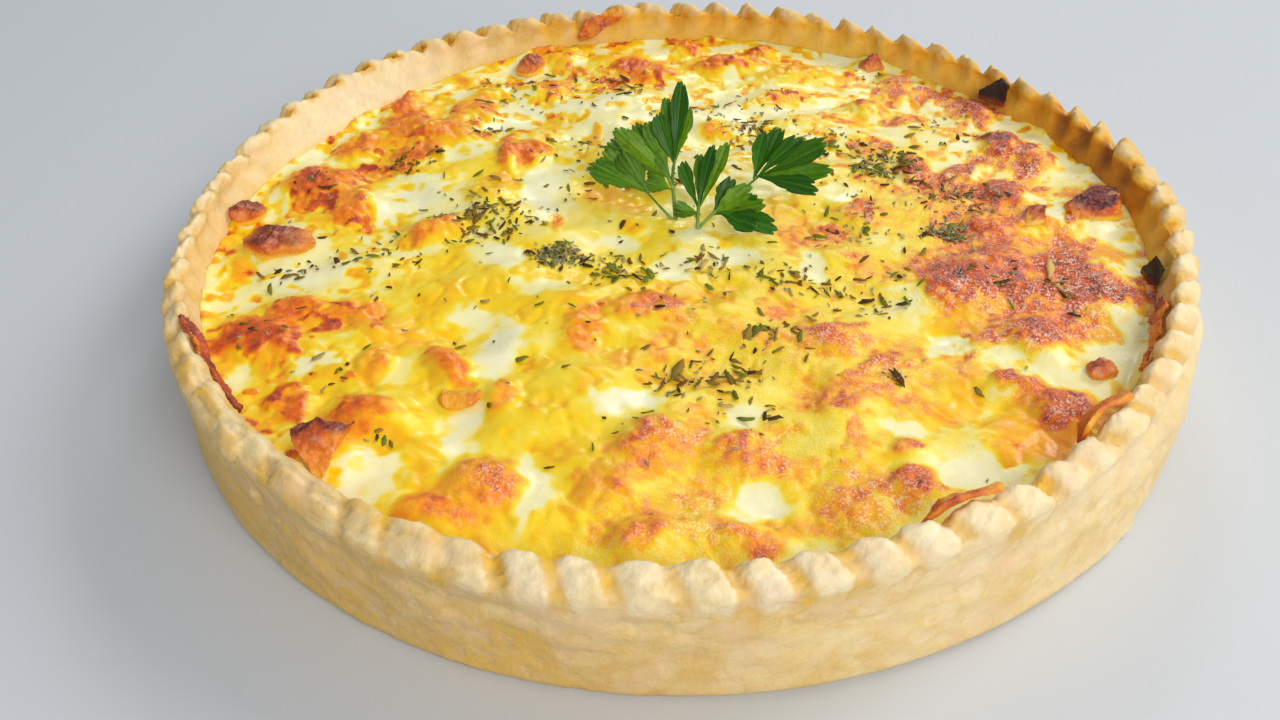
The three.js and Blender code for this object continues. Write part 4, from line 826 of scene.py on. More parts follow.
def filling():
    rings = 178
    # one point in the middle, then 6k points on ring k
    ring = np.concatenate([[0]] + [np.full(6 * k, k) for k in range(1, rings + 1)])
    step = np.concatenate([[0]] + [np.arange(6 * k) for k in range(1, rings + 1)])
    angle = RIDGE_ANGLE + 360 * step / np.maximum(6 * ring, 1)
    share = ring / rings
    out = np.stack([np.cos(np.radians(angle)), np.sin(np.radians(angle)), np.zeros_like(angle)], -1)
    # the filling creeps up the wall here and there, and browns where it does
    climb = 0.4 + 1.6 * smooth(fractal(INNER_RADIUS * out, 13, 73), -0.1, 0.6)
    reach = inner_radius(angle, FILLING_EDGE + climb) + 0.15
    p = out * (share * reach)[:, None]
    x, y = p[:, 0], p[:, 1]
    bake, blister_and_glint = surface_bake(x, y)
    z = surface_height(x, y)
    from_wall = (1 - share) * reach
    z += climb * bell(from_wall / 1.6)
    bake = np.clip(bake + 0.14 * (climb - 0.4) * bell(from_wall / 2.5), 0, 1)
    crusty = smooth(bake, 0.45, 0.75)
    cheesy = smooth(bake, 0.24, 0.45)
    blister = smooth(cells(p, 2.4, 63)[0], 0, 0.55) + 0.5 * smooth(cells(p, 1.5, 64)[0], 0, 0.6)
    z += crusty * (0.6 * fractal(p, 4.2, 61) + 0.42 * blister - 0.2)
    # melted shreds: rounded ridges with sharp creases between them
    slanted = np.stack([0.8 * x - 0.6 * y, 0.6 * x + 0.8 * y, 0.5 * x + 0.3 * y], -1)
    creases = np.abs(noise(slanted, 5.8, 71) + 0.4 * noise(slanted, 2.4, 72))
    z += 0.5 * cheesy * (smooth(creases, 0, 0.4) - 0.7)
    z += 0.12 * blister_and_glint * noise(p, 1.5, 66)
    z += 0.3 * fractal(slanted, 8.5, 67) + 0.14 * noise(slanted, 3.6, 69)
    # the filling climbs a little round each piece of ham
    for node in sorted(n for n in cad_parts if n.startswith("ham_")):
        low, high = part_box(node)
        middle, half = (low + high) / 2 / MM, (high - low) / 2 / MM
        away = np.hypot((x - middle.x) / half.x, (y - middle.y) / half.y)
        z += 0.18 * half.z * bell(np.maximum(away - 0.7, 0) / 0.4)

    triangles = [(0, 1 + i, 1 + (i + 1) % 6) for i in range(6)]
    for k in range(1, rings):
        a0, b0 = 1 + 3 * k * (k - 1), 1 + 3 * k * (k + 1)
        s, i = np.meshgrid(np.arange(6), np.arange(k + 1), indexing="ij")
        inner = a0 + (s * k + i) % (6 * k)
        outer = b0 + s * (k + 1) + i
        outer_next = b0 + (s * (k + 1) + i + 1) % (6 * (k + 1))
        triangles.append(np.stack([inner, outer, outer_next], -1).reshape(-1, 3))
        inner_next = a0 + (s * k + i + 1) % (6 * k)
        between = np.stack([inner, outer_next, inner_next], -1)[:, :k]
        triangles.append(between.reshape(-1, 3))
    triangles = np.concatenate([np.asarray(t).reshape(-1, 3) for t in triangles])

    # the hidden side and underside, so that the filling is a closed body
    edge = 1 + 3 * rings * (rings - 1) + np.arange(6 * rings)
    foot = np.stack([x[edge], y[edge], np.zeros(len(edge))], -1)
    foot *= ((FLOOR_RADIUS - 0.6) / np.hypot(foot[:, 0], foot[:, 1]))[:, None]
    foot[:, 2] = FLOOR_THICKNESS + 0.3
    points = np.stack([x, y, z], -1)
    low = len(points) + np.arange(len(edge))
    points = np.concatenate([points, foot, [[0, 0, FLOOR_THICKNESS + 0.3]]])
    middle = np.full(len(edge), len(points) - 1)
    edge_next, low_next = np.roll(edge, -1), np.roll(low, -1)
    triangles = np.concatenate([
        triangles,
        np.stack([edge, low, low_next], -1),
        np.stack([edge, low_next, edge_next], -1),
        np.stack([middle, low_next, low], -1),
    ])
    hidden = len(points) - len(bake)
    bake = np.concatenate([bake, np.full(hidden, 0.2)])
    blister_and_glint = np.concatenate([blister_and_glint, np.zeros(hidden)])
    return make_mesh("baked_filling", points, triangles, None, {"bake": bake, "blister_and_glint": blister_and_glint})


# ---------------------------------------------------------------- dried herbs

HERB_TINTS = {
    "green": (112, 122, 34), "olive": (146, 118, 44), "dark": (78, 52, 26),
    "straw": (206, 176, 100), "dust": (158, 156, 120), "brown": (140, 88, 40),
}


def herb_flake(random, x, y, length, turn, kind):
    """A scrap of dried leaf with a ragged outline, bent along its length, lying on the surface."""
    count = 8
    slim = random.uniform(0.16, 0.42) if length > 1.3 else random.uniform(0.35, 0.7)
    around = 2 * np.pi * (np.arange(count) + random.uniform(-0.3, 0.3, count)) / count
    reach = random.uniform(0.6, 1.15, count)
    u = 0.5 * length * reach * np.cos(around)
    v = 0.5 * length * slim * reach * np.sin(around)
    v += 0.2 * random.uniform(-1, 1) * u * u / length
    u, v = np.append(u, 0.0), np.append(v, 0.0)
    curl = random.uniform(-0.1, 0.35) * u * u / length + random.uniform(-0.3, 0.3) * u
    curl += random.uniform(0.1, 0.5) * np.abs(v)
    a = np.radians(turn)
    px = x + u * np.cos(a) - v * np.sin(a)
    py = y + u * np.sin(a) + v * np.cos(a)
    base = surface_height(px, py)
    top = np.stack([px, py, 0.6 * base + 0.4 * base.mean() + random.uniform(0.2, 0.5) + curl], -1)
    low = top - [0, 0, 0.2]
    rim = np.arange(count)
    after = np.roll(rim, -1)
    middle = np.full(count, count)
    below = count + 1
    faces = np.concatenate([
        np.stack([middle, rim, after], -1),
        np.stack([middle + below, after + below, rim + below], -1),
        np.stack([rim, rim + below, after + below], -1),
        np.stack([rim, after + below, after], -1),
    ])
    shade = rgb(*HERB_TINTS[kind]) * random.uniform(0.7, 1.3)
    return np.concatenate([top, low]), faces, np.tile(shade, (2 * below, 1))


def herbs(keep_clear):
    random = np.random.default_rng(12)
    pieces = [herb_flake(random, *row) for row in SINGLE_HERBS]
    kinds = ["green", "olive", "dark", "brown", "straw"]
    shares = [0.36, 0.66, 0.82, 0.94]  # where each next kind starts, between 0 and 1
    for cx, cy, spread, count, dusty in HERBS:
        for _ in range(count):
            r = spread * random.random() ** 0.6 * random.uniform(0.6, 1.3)
            a = random.uniform(0, 2 * np.pi)
            x, y = cx + r * np.cos(a), cy + 0.8 * r * np.sin(a)
            dust = random.random() < dusty
            length = random.uniform(0.7, 1.8) if dust else 1.0 + 3.2 * random.random() ** 1.4
            kind = "dust" if dust else kinds[int(np.searchsorted(shares, random.random()))]
            edge = inner_radius(np.degrees(np.arctan2(y, x)), FILLING_EDGE) - 3
            if np.hypot(x, y) > edge or any(np.hypot(x - a, y - b) < c for a, b, c in keep_clear):
                continue
            pieces.append(herb_flake(random, x, y, length, random.uniform(0, 360), kind))
    return joined("dried_herbs", pieces)


# ---------------------------------------------------------------- materials


def material(name, roughness, subsurface=0.0, radius=(0.5, 0.25, 0.1), specular=0.5):
    """A principled material with its roughness, subsurface and specular level, and its node tools."""
    m = bpy.data.materials.new(name)
    m.use_nodes = True
    nodes, links = m.node_tree.nodes, m.node_tree.links
    shader = nodes["Principled BSDF"]
    shader.inputs["Roughness"].default_value = roughness
    shader.inputs["Subsurface Weight"].default_value = subsurface
    shader.inputs["Subsurface Radius"].default_value = radius
    shader.inputs["Subsurface Scale"].default_value = 0.004
    shader.inputs["Specular IOR Level"].default_value = specular
    return m, nodes, links, shader


def node_noise(nodes, links, scale, detail=3.0):
    """Noise from 0 to 1, with about so many waves in a metre."""
    coordinates = nodes.new("ShaderNodeTexCoord").outputs["Object"]
    texture = nodes.new("ShaderNodeTexNoise")
    texture.inputs["Scale"].default_value = scale
    texture.inputs["Detail"].default_value = detail
    texture.inputs["Roughness"].default_value = 0.6
    links.new(coordinates, texture.inputs["Vector"])
    return texture.outputs["Fac"]


def node_ramp(nodes, links, value, low, high, bottom=0.0, top=1.0):
    """Turns a value from low to high smoothly into one from bottom to top."""
    ramp = nodes.new("ShaderNodeMapRange")
    ramp.interpolation_type = "SMOOTHSTEP"
    for key, number in (("From Min", low), ("From Max", high), ("To Min", bottom), ("To Max", top)):
        ramp.inputs[key].default_value = number
    links.new(value, ramp.inputs["Value"])
    return ramp.outputs["Result"]


def node_math(nodes, links, operation, a, b):
    node = nodes.new("ShaderNodeMath")
    node.operation = operation
    for socket, value in zip(node.inputs, (a, b)):
        if isinstance(value, (int, float)):
            socket.default_value = value
        else:
            links.new(value, socket)
    return node.outputs["Value"]


def arithmetic(nodes, links):
    """Two functions, which multiply and add node values."""
    def times(a, b):
        return node_math(nodes, links, "MULTIPLY", a, b)

    def plus(a, b):
        return node_math(nodes, links, "ADD", a, b)

    return times, plus


def node_mix(nodes, links, factor, a, b):
    """Mixes two colours, each of them a socket or a colour from rgb."""
    node = nodes.new("ShaderNodeMix")
    node.data_type = "RGBA"
    for key, value in (("Factor", factor), ("A", a), ("B", b)):
        if isinstance(value, np.ndarray):
            node.inputs[key].default_value = (*value, 1.0)
        else:
            links.new(value, node.inputs[key])
    return node.outputs["Result"]


def node_attribute(nodes, name, output="Fac"):
    node = nodes.new("ShaderNodeAttribute")
    node.attribute_name = name
    return node.outputs[output]


def colour_ramp(nodes, links, level, colours):
    """The colour at a level of browning."""
    ramp = nodes.new("ShaderNodeValToRGB")
    stops = ramp.color_ramp.elements
    for place, _ in colours[1:-1]:
        stops.new(place)
    for stop, (place, colour) in zip(stops, colours):
        stop.position = place
        stop.color = (*rgb(*colour), 1)
    links.new(level, ramp.inputs["Fac"])
    return ramp.outputs["Color"]


def node_bump(nodes, links, shader, height, strength, distance):
    bump = nodes.new("ShaderNodeBump")
    bump.inputs["Strength"].default_value = strength
    bump.inputs["Distance"].default_value = distance
    links.new(height, bump.inputs["Height"])
    links.new(bump.outputs["Normal"], shader.inputs["Normal"])


def crust_material():
    """Dry pastry, browned where its bake is high."""
    m, nodes, links, shader = material("baked_pastry", 0.55, 0.1, (1.0, 0.6, 0.25), 0.4)
    times, plus = arithmetic(nodes, links)
    grain = node_noise(nodes, links, 1000, 4)
    coarse = node_noise(nodes, links, 260, 3)
    uneven = times(plus(grain, -0.5), 0.14)
    blotches = times(plus(coarse, -0.5), 0.2)
    level = plus(plus(node_attribute(nodes, "bake"), uneven), blotches)
    tint = colour_ramp(nodes, links, level, PASTRY_BROWNING)
    # pinkish places, not where it baked golden
    pink = node_ramp(nodes, links, node_noise(nodes, links, 120, 2), 0.48, 0.66, 0, 0.4)
    rosy = times(pink, node_ramp(nodes, links, level, 0.5, 0.64, 1, 0))
    tint = node_mix(nodes, links, rosy, tint, rgb(240, 206, 166))
    links.new(tint, shader.inputs["Base Color"])
    node_bump(nodes, links, shader, plus(grain, coarse), 0.5, 0.0005)
    return m


def filling_material():
    """Custard and cheese, browned where the bake is high, with pale specks of dry skin and painted
    highlight glints on the blisters.
    """
    m, nodes, links, shader = material("baked_cheese", 0.4, 0.15, (1.0, 0.5, 0.15), 0.5)
    times, plus = arithmetic(nodes, links)
    bake = node_attribute(nodes, "bake")
    blister_and_glint = node_attribute(nodes, "blister_and_glint")
    grain = node_noise(nodes, links, 520, 4)
    speck = node_noise(nodes, links, 1900, 3)
    crusty = node_ramp(nodes, links, bake, 0.46, 0.72)
    # the fine grain browns unevenly: little on custard, strongly on crusty cheese
    uneven = times(plus(grain, -0.5), plus(times(crusty, 0.4), plus(times(blister_and_glint, 0.3), 0.08)))
    tint = colour_ramp(nodes, links, plus(bake, uneven), BROWNING)
    # pale specks on the tops of the blisters: dry skin, and painted highlight glints
    fine = plus(speck, times(plus(grain, -0.5), 0.6))
    speck_spots = node_ramp(nodes, links, fine, 0.5, 0.61)
    specks_and_glints = times(speck_spots, node_ramp(nodes, links, blister_and_glint, 0.0, 0.9, 0, 0.85))
    yellowish = node_mix(nodes, links, crusty, rgb(255, 236, 150), rgb(255, 214, 184))
    tint = node_mix(nodes, links, specks_and_glints, tint, yellowish)
    links.new(tint, shader.inputs["Base Color"])
    wet = node_ramp(nodes, links, node_noise(nodes, links, 300, 2), 0.35, 0.65, 0.0, 0.12)
    links.new(plus(wet, plus(times(blister_and_glint, 0.2), 0.24)), shader.inputs["Roughness"])
    rough = plus(times(fine, plus(times(blister_and_glint, 0.8), 0.04)), times(grain, plus(times(crusty, 0.8), 0.1)))
    node_bump(nodes, links, shader, rough, 0.6, 0.0007)
    return m


def speckle(nodes, links, shader, grain, low, high, amount, colour):
    """The painted tint, with specks of a colour where the grain is high."""
    tint = node_attribute(nodes, "tint", "Color")
    specks = node_ramp(nodes, links, grain, low, high, 0, amount)
    tint = node_mix(nodes, links, specks, tint, rgb(*colour))
    links.new(tint, shader.inputs["Base Color"])


def topping_material(name, roughness, subsurface, speck, amount):
    """A painted topping with fine specks and an uneven sheen."""
    m, nodes, links, shader = material(name, roughness, subsurface, (1.0, 0.4, 0.2), 0.5)
    grain = node_noise(nodes, links, 1300, 4)
    speckle(nodes, links, shader, grain, 0.52, 0.68, amount, speck)
    greasy = node_noise(nodes, links, 500)
    sheen = node_ramp(nodes, links, greasy, 0.3, 0.7, roughness - 0.12, roughness + 0.15)
    links.new(sheen, shader.inputs["Roughness"])
    node_bump(nodes, links, shader, grain, 0.5, 0.0005)
    return m


def leaf_material():
    """Fresh parsley."""
    m, nodes, links, shader = material("parsley_leaf", 0.42, 0.05, (0.5, 0.8, 0.15), 0.25)
    patches = node_noise(nodes, links, 700, 3)
    speckle(nodes, links, shader, patches, 0.45, 0.7, 0.4, (34, 80, 12))
    node_bump(nodes, links, shader, patches, 0.35, 0.0003)
    return m


def herb_material():
    """Dried leaf scraps."""
    m, nodes, links, shader = material("dried_herb", 0.8, 0.0, (1, 1, 1), 0.1)
    fibres = node_noise(nodes, links, 2600, 3)
    speckle(nodes, links, shader, fibres, 0.5, 0.7, 0.4, (150, 140, 92))
    node_bump(nodes, links, shader, fibres, 0.5, 0.0002)
    return m


# ---------------------------------------------------------------- pieces made from the part's solids


def mesh_arrays(thing):
    co = np.zeros(3 * len(thing.data.vertices))
    thing.data.vertices.foreach_get("co", co)
    normals = np.zeros(3 * len(thing.data.vertices))
    thing.data.vertices.foreach_get("normal", normals)
    return co.reshape(-1, 3) / MM, normals.reshape(-1, 3)


def refined(node, name, voxel, rounds):
    """A copy of a CAD node's mesh, remeshed finely and smoothed."""
    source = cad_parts[node]
    thing = bpy.data.objects.new(name, source.data.copy())
    thing.data.materials.clear()
    bpy.context.scene.collection.objects.link(thing)
    remesh = thing.modifiers.new("remesh", "REMESH")
    remesh.mode = "VOXEL"
    remesh.voxel_size = voxel * MM
    relax = thing.modifiers.new("relax", "SMOOTH")
    relax.factor = 0.5
    relax.iterations = rounds
    bpy.context.view_layer.update()
    made = bpy.data.meshes.new_from_object(thing.evaluated_get(bpy.context.evaluated_depsgraph_get()))
    thing.modifiers.clear()
    thing.data = made
    for polygon in made.polygons:
        polygon.use_smooth = True
    for attribute in list(made.attributes):
        if not attribute.is_internal and not attribute.is_required:
            made.attributes.remove(attribute)
    return thing


def roughened(thing, amount, size, seed):
    """Pushes the surface in and out by noise and by crisp facets."""
    points, normals = mesh_arrays(thing)
    inside, own = cells(points, 0.7 * size, seed + 5)
    push = fractal(points, size, seed) + 0.4 * noise(points, size / 5, seed + 3)
    push += 0.9 * (own - 0.5) * smooth(inside, 0, 0.25) - 0.5 * (1 - smooth(inside, 0, 0.2))
    points += normals * amount * push[:, None]
    thing.data.vertices.foreach_set("co", (points * MM).ravel())
    thing.data.update()
    return points


# How each topping is torn: planes that cut its block, as a direction and how far out the cut
# lies, with the piece's box running from -1 to 1. On ham the first two are its browned tops.
TEARS = {
    "ham_front_left": [
        ((-0.55, 0.4, 0.75), 0.72), ((0.3, 0.45, 0.85), 0.78), ((0.05, -0.85, 0.5), 0.5),
        ((-0.8, -0.35, -0.5), 0.46), ((0.9, -0.25, -0.35), 0.56), ((0.0, 0.9, 0.45), 0.5)],
    "ham_left": [
        ((-0.7, 0.15, 0.7), 0.42), ((0.6, 0.2, 0.75), 0.26), ((0.1, -0.7, 0.7), 0.4),
        ((-0.6, -0.7, 0.2), 0.66), ((0.7, -0.6, 0.3), 0.66), ((0.1, 0.85, 0.5), 0.5)],
    "ham_left_small": [
        ((-0.5, 0.3, 0.8), 0.6), ((0.6, 0.2, 0.75), 0.5), ((0.0, -0.8, 0.6), 0.55),
        ((0.0, 0.9, 0.5), 0.5)],
    "ham_right": [
        ((-0.45, -0.35, 0.82), 0.45), ((0.2, 0.5, 0.85), 0.66), ((0.95, -0.1, 0.15), 0.66),
        ((-0.2, -0.9, 0.3), 0.66), ((-0.7, 0.6, 0.3), 0.55)],
    "ham_back_right": [
        ((-0.75, 0.1, 0.65), 0.5), ((0.9, 0.1, 0.35), 0.6), ((0.0, -0.8, 0.6), 0.55),
        ((0.0, 0.8, 0.6), 0.5)],
    "ham_back_left": [
        ((0.6, 0.1, 0.8), 0.5), ((-0.75, 0.1, 0.6), 0.5), ((0.0, -0.8, 0.6), 0.55)],
    "ham_middle_right": [
        ((1.0, 0.0, 0.1), 0.5), ((-0.78, 0.0, 0.62), 0.08), ((0.0, -0.95, 0.3), 0.4),
        ((0.0, 0.9, 0.4), 0.35)],
    "ham_right_curl": [
        ((0.5, 0.3, 0.8), 0.66), ((-0.6, 0.2, 0.75), 0.56), ((0.1, -0.8, 0.6), 0.55)],
    "cheese_bar": [
        ((0.0, 0.35, 0.94), 0.4), ((0.0, -0.85, 0.52), 0.42), ((0.0, 0.95, 0.3), 0.55),
        ((-0.92, -0.35, 0.2), 0.82), ((0.95, -0.2, 0.2), 0.84)],
    "burnt_flake_back": [((-0.5, 0.0, 0.87), 0.12), ((0.3, 0.0, 0.95), 0.62)],
    "burnt_flake_right": [((0.6, 0.0, 0.8), 0.5), ((-0.7, 0.0, 0.7), 0.5)],
}
BROWNED = {
    "ham_front_left": 0.9, "ham_left": 0.65, "ham_left_small": 0.85, "ham_right": 1.0,
    "ham_back_right": 0.25, "ham_back_left": 0.4, "ham_middle_right": 0.1, "ham_right_curl": 0.3,
}


def torn(thing, tears, seed):
    """Cuts a piece by planes, and gives how far each point lies inside the first two of them."""
    points = mesh_arrays(thing)[0]
    low, high = points.min(0), points.max(0)
    middle, half = (low + high) / 2, (high - low) / 2
    place = (points - middle) / half
    rough = 0.09 * fractal(points, 3.2, seed + 4)
    below = np.full(len(points), 9.0)
    for k, (way, reach) in enumerate(tears):
        way = np.array(way) / np.linalg.norm(way)
        beyond = place @ way - reach - rough
        place -= np.maximum(beyond, 0)[:, None] * way
        if k < 2:
            below = np.minimum(below, np.maximum(-beyond, 0))
    thing.data.vertices.foreach_set("co", ((middle + place * half) * MM).ravel())
    thing.data.update()
    return below


def upward(points):
    """How far up each point lies in its piece, from 0 at the bottom to 1 at the top."""
    low, high = points[:, 2].min(), points[:, 2].max()
    return (points[:, 2] - low) / (high - low)


def ham(node, seed):
    """Torn ham: flat orange faces, purple-brown browned tops and pinkish painted highlight glints."""
    thing = refined(node, node.replace("ham_", "ham_piece_"), 0.36, 1)
    below = torn(thing, TEARS[node], seed)
    points = roughened(thing, 0.34, 2.6, seed)
    up = upward(points)
    blotch = fractal(points, 4.5, seed + 1)
    top = BROWNED[node] * (1 - smooth(below + 0.12 * blotch, 0.03, 0.22)) * smooth(up, 0.42, 0.74)
    # pinkish glints, more of them higher up: painted highlights
    painted_glints = smooth(noise(points, 1.7, seed + 2), 0.35, 0.7)
    paint(thing.data, coats(
        rgb(238, 142, 40),
        ((204, 86, 30), smooth(0.8 * blotch + up, 0.35, 0.85)),
        ((118, 40, 36), top),
        ((66, 24, 26), top * smooth(blotch, 0.0, 0.5)),
        ((236, 170, 130), 0.5 * painted_glints * smooth(up, 0.3, 0.7)),
        ((255, 206, 60), 0.9 * smooth(0.4 - up + 0.14 * blotch, 0, 0.2)),
    ))
    return thing


def cheese(node, seed, dark):
    """A crisp strip or bar of cheese that browned at its edges."""
    thing = refined(node, node.replace("cheese_", "cheese_piece_"), 0.3, 2)
    if node in TEARS:
        torn(thing, TEARS[node], seed)
    points = roughened(thing, 0.5 if "edge" in node else 0.16, 2.6, seed)
    level = fractal(points, 4, seed + 1) + dark
    paint(thing.data, coats(
        rgb(246, 170, 30),
        ((228, 118, 22), smooth(level, -0.2, 0.4)),
        ((184, 68, 32), smooth(level, 0.25, 0.9)),
        ((120, 44, 36), smooth(level, 0.75, 1.3)),
    ))
    return thing


def burnt(node, seed):
    """A charred flake, less black at its foot."""
    thing = refined(node, node.replace("burnt_flake_", "burnt_piece_"), 0.26, 2)
    torn(thing, TEARS[node], seed)
    points = roughened(thing, 0.14, 1.8, seed)
    paint(thing.data, coats(rgb(150, 60, 26), ((44, 22, 20), smooth(upward(points), 0.05, 0.35))))
    return thing


# ---------------------------------------------------------------- parsley


def closed_strip(top, low):
    """A thin body between two grids of points of the same shape."""
    rows, columns = top.shape[:2]
    count = rows * columns
    faces = grid_triangles(rows, columns, False)
    border = list(range(columns)) + [columns * i + columns - 1 for i in range(1, rows)]
    border += [columns * (rows - 1) + j for j in range(columns - 2, -1, -1)]
    border += [columns * i for i in range(rows - 2, 0, -1)]
    sides = []
    for k, p in enumerate(border):
        q = border[(k + 1) % len(border)]
        sides += [(p, q, count + q), (p, count + q, count + p)]
    points = np.concatenate([top.reshape(-1, 3), low.reshape(-1, 3)])
    return points, np.concatenate([faces, faces[:, ::-1] + count, np.array(sides)[:, ::-1]])


def lobe(root, arm, facing, half, teeth, seed, shade):
    """One arm of a parsley leaf: a folded wedge with rounded teeth along its far edge."""
    length = np.linalg.norm(arm)
    ahead = arm / length
    side = np.cross(ahead, facing)
    side /= np.linalg.norm(side)
    up = np.cross(side, ahead)
    rows, columns = 20, 61
    t = np.linspace(0, 1, rows)[:, None]
    s = np.linspace(-1, 1, columns)[None, :]
    # round teeth side by side, with a sharp cleft between each and the next
    tooth = np.abs(np.cos(0.5 * teeth * np.pi * s))
    cleft = (1 - tooth**0.5) * (2.5 / teeth + 0.2 * np.sin(4 * s + 3 * seed)) * half / length
    reach = 1.0 - 0.11 * s * s - cleft + 0.03 * np.sin(3 * s + 5 * seed)
    along = length * t * reach
    # a narrow root that widens into a blade, with rounded teeth along the sides too
    notch = 1 - 0.24 * smooth(np.abs(s), 0.5, 1) * (1 - np.abs(np.sin(3 * np.pi * t)) ** 0.6)
    across = (1.1 + 0.09 * teeth) * half * s * (0.1 + 0.9 * smooth(t, 0.06, 0.9)) * notch
    bend = 0.12 * length * np.sin(2.4 * along / length + 1.7 * seed) * along / length
    ripple = 0.22 * across * np.sin(5 * along / length + seed)
    height = 0.3 * np.abs(across) + bend + ripple + 0.1 * (1 - tooth) * t * t

    def face(lift):
        z = height + lift
        return root + along[..., None] * ahead + across[..., None] * side + z[..., None] * up

    points, faces = closed_strip(face(0.13), face(-0.13))
    vein = ((bell(s / 0.06) + 0.5 * smooth(tooth, 0.93, 1)) * smooth(t, 0, 0.2)).ravel()
    edge = ((0.4 + 0.6 * (1 - tooth) ** 2) * smooth(t, 0.45, 1)).ravel()
    above = coats(shade, ((110, 166, 50), 0.3 * vein), ((16, 66, 8), 0.5 * edge))
    pale = mix(shade, rgb(104, 146, 22), 0.5)
    below = coats(pale, ((140, 176, 60), 0.4 * vein), ((20, 70, 6), 0.6 * edge))
    return points, faces, np.concatenate([above, below])


def stem(route, radius):
    """A tapering stalk through the route's points."""
    route = np.array(route, float)
    knots = np.concatenate([[2 * route[0] - route[1]], route, [2 * route[-1] - route[-2]]])
    spine = []
    for k in range(len(route) - 1):
        for t in np.linspace(0, 1, 7)[: 7 if k == len(route) - 2 else 6]:
            spine.append(curve(*knots[k : k + 4], t))
    spine = np.array(spine)
    tangent = np.gradient(spine, axis=0)
    tangent /= np.linalg.norm(tangent, axis=1, keepdims=True)
    side = np.cross(tangent, [0.3, -0.9, 0.3])
    side /= np.linalg.norm(side, axis=1, keepdims=True)
    other = np.cross(tangent, side)
    count = 10
    a = np.linspace(0, 2 * np.pi, count + 1)[:-1]
    size = radius * np.linspace(1.0, 0.6, len(spine))
    groove = 1 - 0.18 * np.cos(a) ** 8
    ring = side[:, None] * np.cos(a)[:, None] + other[:, None] * np.sin(a)[:, None]
    grid = spine[:, None] + size[:, None, None] * (ring * groove[:, None])
    points = np.concatenate([grid.reshape(-1, 3), spine[:1], spine[-1:]])
    n = len(points)
    last = count * (len(spine) - 1)
    start = [(n - 2, (j + 1) % count, j) for j in range(count)]
    end = [(n - 1, last + j, last + (j + 1) % count) for j in range(count)]
    faces = np.concatenate([grid_triangles(len(spine), count, True), start, end])
    t = np.concatenate([np.repeat(np.linspace(0, 1, len(spine)), count), [0, 1]])
    return points, faces, coats(rgb(150, 176, 92), ((74, 132, 44), t))


def parsley(name):
    spec = PARSLEY[name]
    fx, fy = spec["foot"]
    foot = np.array([fx, fy, float(surface_height(np.array([fx], float), np.array([fy], float))[0])])
    parts = []
    for k, route in enumerate(spec["stems"]):
        parts.append(stem(np.array(route) + foot, 0.62 if k == 0 else 0.48))
    for k, (root, tips, width) in enumerate(spec["leaves"]):
        arms = np.array(tips, float) - np.array(root, float)
        facing = np.cross(arms[-1], arms[0])
        facing /= np.linalg.norm(facing)
        for i, arm in enumerate(arms):
            shade = rgb(*LEAF_SHADES[(k + i) % len(LEAF_SHADES)])
            base = np.array(root) + foot - 0.03 * arm
            parts.append(lobe(base, arm, facing, width / 2, LEAF_TEETH[name], 2.1 * i + k, shade))
    return joined(name.replace("parsley", "parsley_sprig"), parts)


# ---------------------------------------------------------------- the pieces


def facing_out(thing):
    """Turns the faces of closed bodies outwards."""
    work = bmesh.new()
    work.from_mesh(thing.data)
    bmesh.ops.recalc_face_normals(work, faces=work.faces)
    work.to_mesh(thing.data)
    work.free()


def dress(piece, node, look):
    piece.data.materials.append(look)
    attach(piece, "root")
    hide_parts(node)


crust_look = crust_material()
filling_look = filling_material()
ham_look = topping_material("cured_ham", 0.34, 0.12, (240, 170, 120), 0.28)
cheese_look = topping_material("toasted_cheese", 0.34, 0.12, (246, 180, 90), 0.25)
burnt_look = topping_material("burnt_crisp", 0.5, 0.0, (96, 60, 48), 0.2)
leaf_look = leaf_material()
herb_look = herb_material()

crust = pastry_case()
facing_out(crust)
dress(crust, "pastry_case", crust_look)

baked = filling()
facing_out(baked)
dress(baked, "filling", filling_look)

toppings = [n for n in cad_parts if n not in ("pastry_case", "filling")]
for k, node in enumerate(sorted(BROWNED)):
    dress(ham(node, 200 + 10 * k), node, ham_look)
for k, node in enumerate(sorted(n for n in toppings if n.startswith("cheese_"))):
    dark = {"cheese_bar": 0.15, "cheese_edge_left": 0.8, "cheese_edge_right": 0.6}.get(node, 0.4)
    dress(cheese(node, 300 + 10 * k, dark), node, cheese_look)
for k, node in enumerate(sorted(n for n in toppings if n.startswith("burnt_"))):
    dress(burnt(node, 400 + 10 * k), node, burnt_look)
for node in sorted(PARSLEY):
    sprig = parsley(node)
    facing_out(sprig)
    dress(sprig, node, leaf_look)

# Places without herb flakes: round the parsley's feet and under the ham
clear = [(*sprig["foot"], 2.5) for sprig in PARSLEY.values()]
for node in sorted(n for n in toppings if n.startswith("ham_")):
    low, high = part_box(node)
    middle, size = (low + high) / 2 / MM, (high - low) / MM
    clear.append((middle.x, middle.y, 0.42 * max(size.x, size.y)))
flakes = herbs(clear)
facing_out(flakes)
dress(flakes, "filling", herb_look)

# ---------------------------------------------------------------- camera, light and floor

camera_data = bpy.data.cameras.new("camera")
camera = bpy.data.objects.new("camera", camera_data)
bpy.context.scene.collection.objects.link(camera)
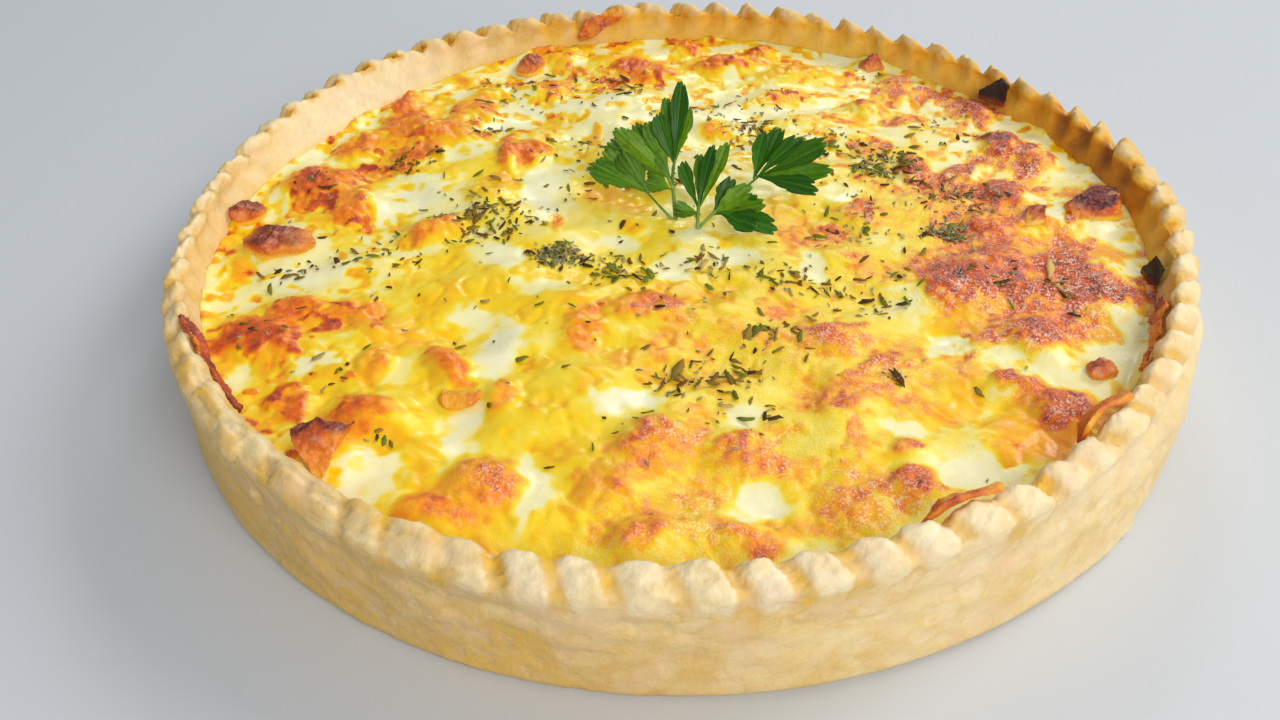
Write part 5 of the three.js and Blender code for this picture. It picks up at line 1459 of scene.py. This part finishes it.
# the camera's own axes, place (m) and lens, fitted to the rim and the foot in the photo
RIGHT = Vector((0.99966, 0.01707, -0.01946))
UP = Vector((0.00467, 0.62049, 0.78420))
AHEAD = Vector((-0.02546, 0.78403, -0.62020))
rotation = Matrix((RIGHT, UP, -AHEAD)).transposed()
camera.matrix_world = Matrix.Translation((0, -0.26366, 0.19305)) @ rotation.to_4x4()
camera_data.sensor_width = 36
camera_data.lens = 36.456
bpy.context.scene.camera = camera


def area_light(name, place, target, size, power, colour):
    data = bpy.data.lights.new(name, "AREA")
    data.shape = "DISK"
    data.size = size
    data.energy = power
    data.color = colour
    light = bpy.data.objects.new(name, data)
    bpy.context.scene.collection.objects.link(light)
    light.location = place
    light.rotation_euler = (Vector(target) - Vector(place)).to_track_quat("-Z", "Y").to_euler()


# Name, place, size, power and colour of each light; all of them point at the quiche
for name, place, size, power, colour in (
    ("window", (1.2, 0.6, 1.1), 0.8, 12.0, (1.0, 0.98, 0.95)),
    ("back_window", (0.15, 1.0, 0.7), 0.3, 2.0, (0.97, 0.98, 1.0)),
    ("room", (0.4, -0.85, 0.7), 0.7, 7.5, (1.0, 0.97, 0.93)),
):
    area_light(name, place, (0, 0, 0.02), size, power, colour)
world = bpy.data.worlds.new("soft_room")
world.use_nodes = True
world.node_tree.nodes["Background"].inputs["Color"].default_value = (0.88, 0.93, 1.0, 1)
world.node_tree.nodes["Background"].inputs["Strength"].default_value = 0.36
bpy.context.scene.world = world
bpy.context.scene.view_settings.view_transform = "Standard"

floor_work = bmesh.new()
bmesh.ops.create_grid(floor_work, x_segments=2, y_segments=2, size=3)
floor_mesh = bpy.data.meshes.new("floor")
floor_work.to_mesh(floor_mesh)
floor_work.free()
floor = bpy.data.objects.new("floor", floor_mesh)
bpy.context.scene.collection.objects.link(floor)
floor_look = bpy.data.materials.new("pale_floor")
floor_look.use_nodes = True
floor_look.node_tree.nodes["Principled BSDF"].inputs["Base Color"].default_value = (0.62, 0.65, 0.68, 1)
floor_look.node_tree.nodes["Principled BSDF"].inputs["Roughness"].default_value = 0.6
floor.data.materials.append(floor_look)
floor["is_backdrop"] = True

low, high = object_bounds()
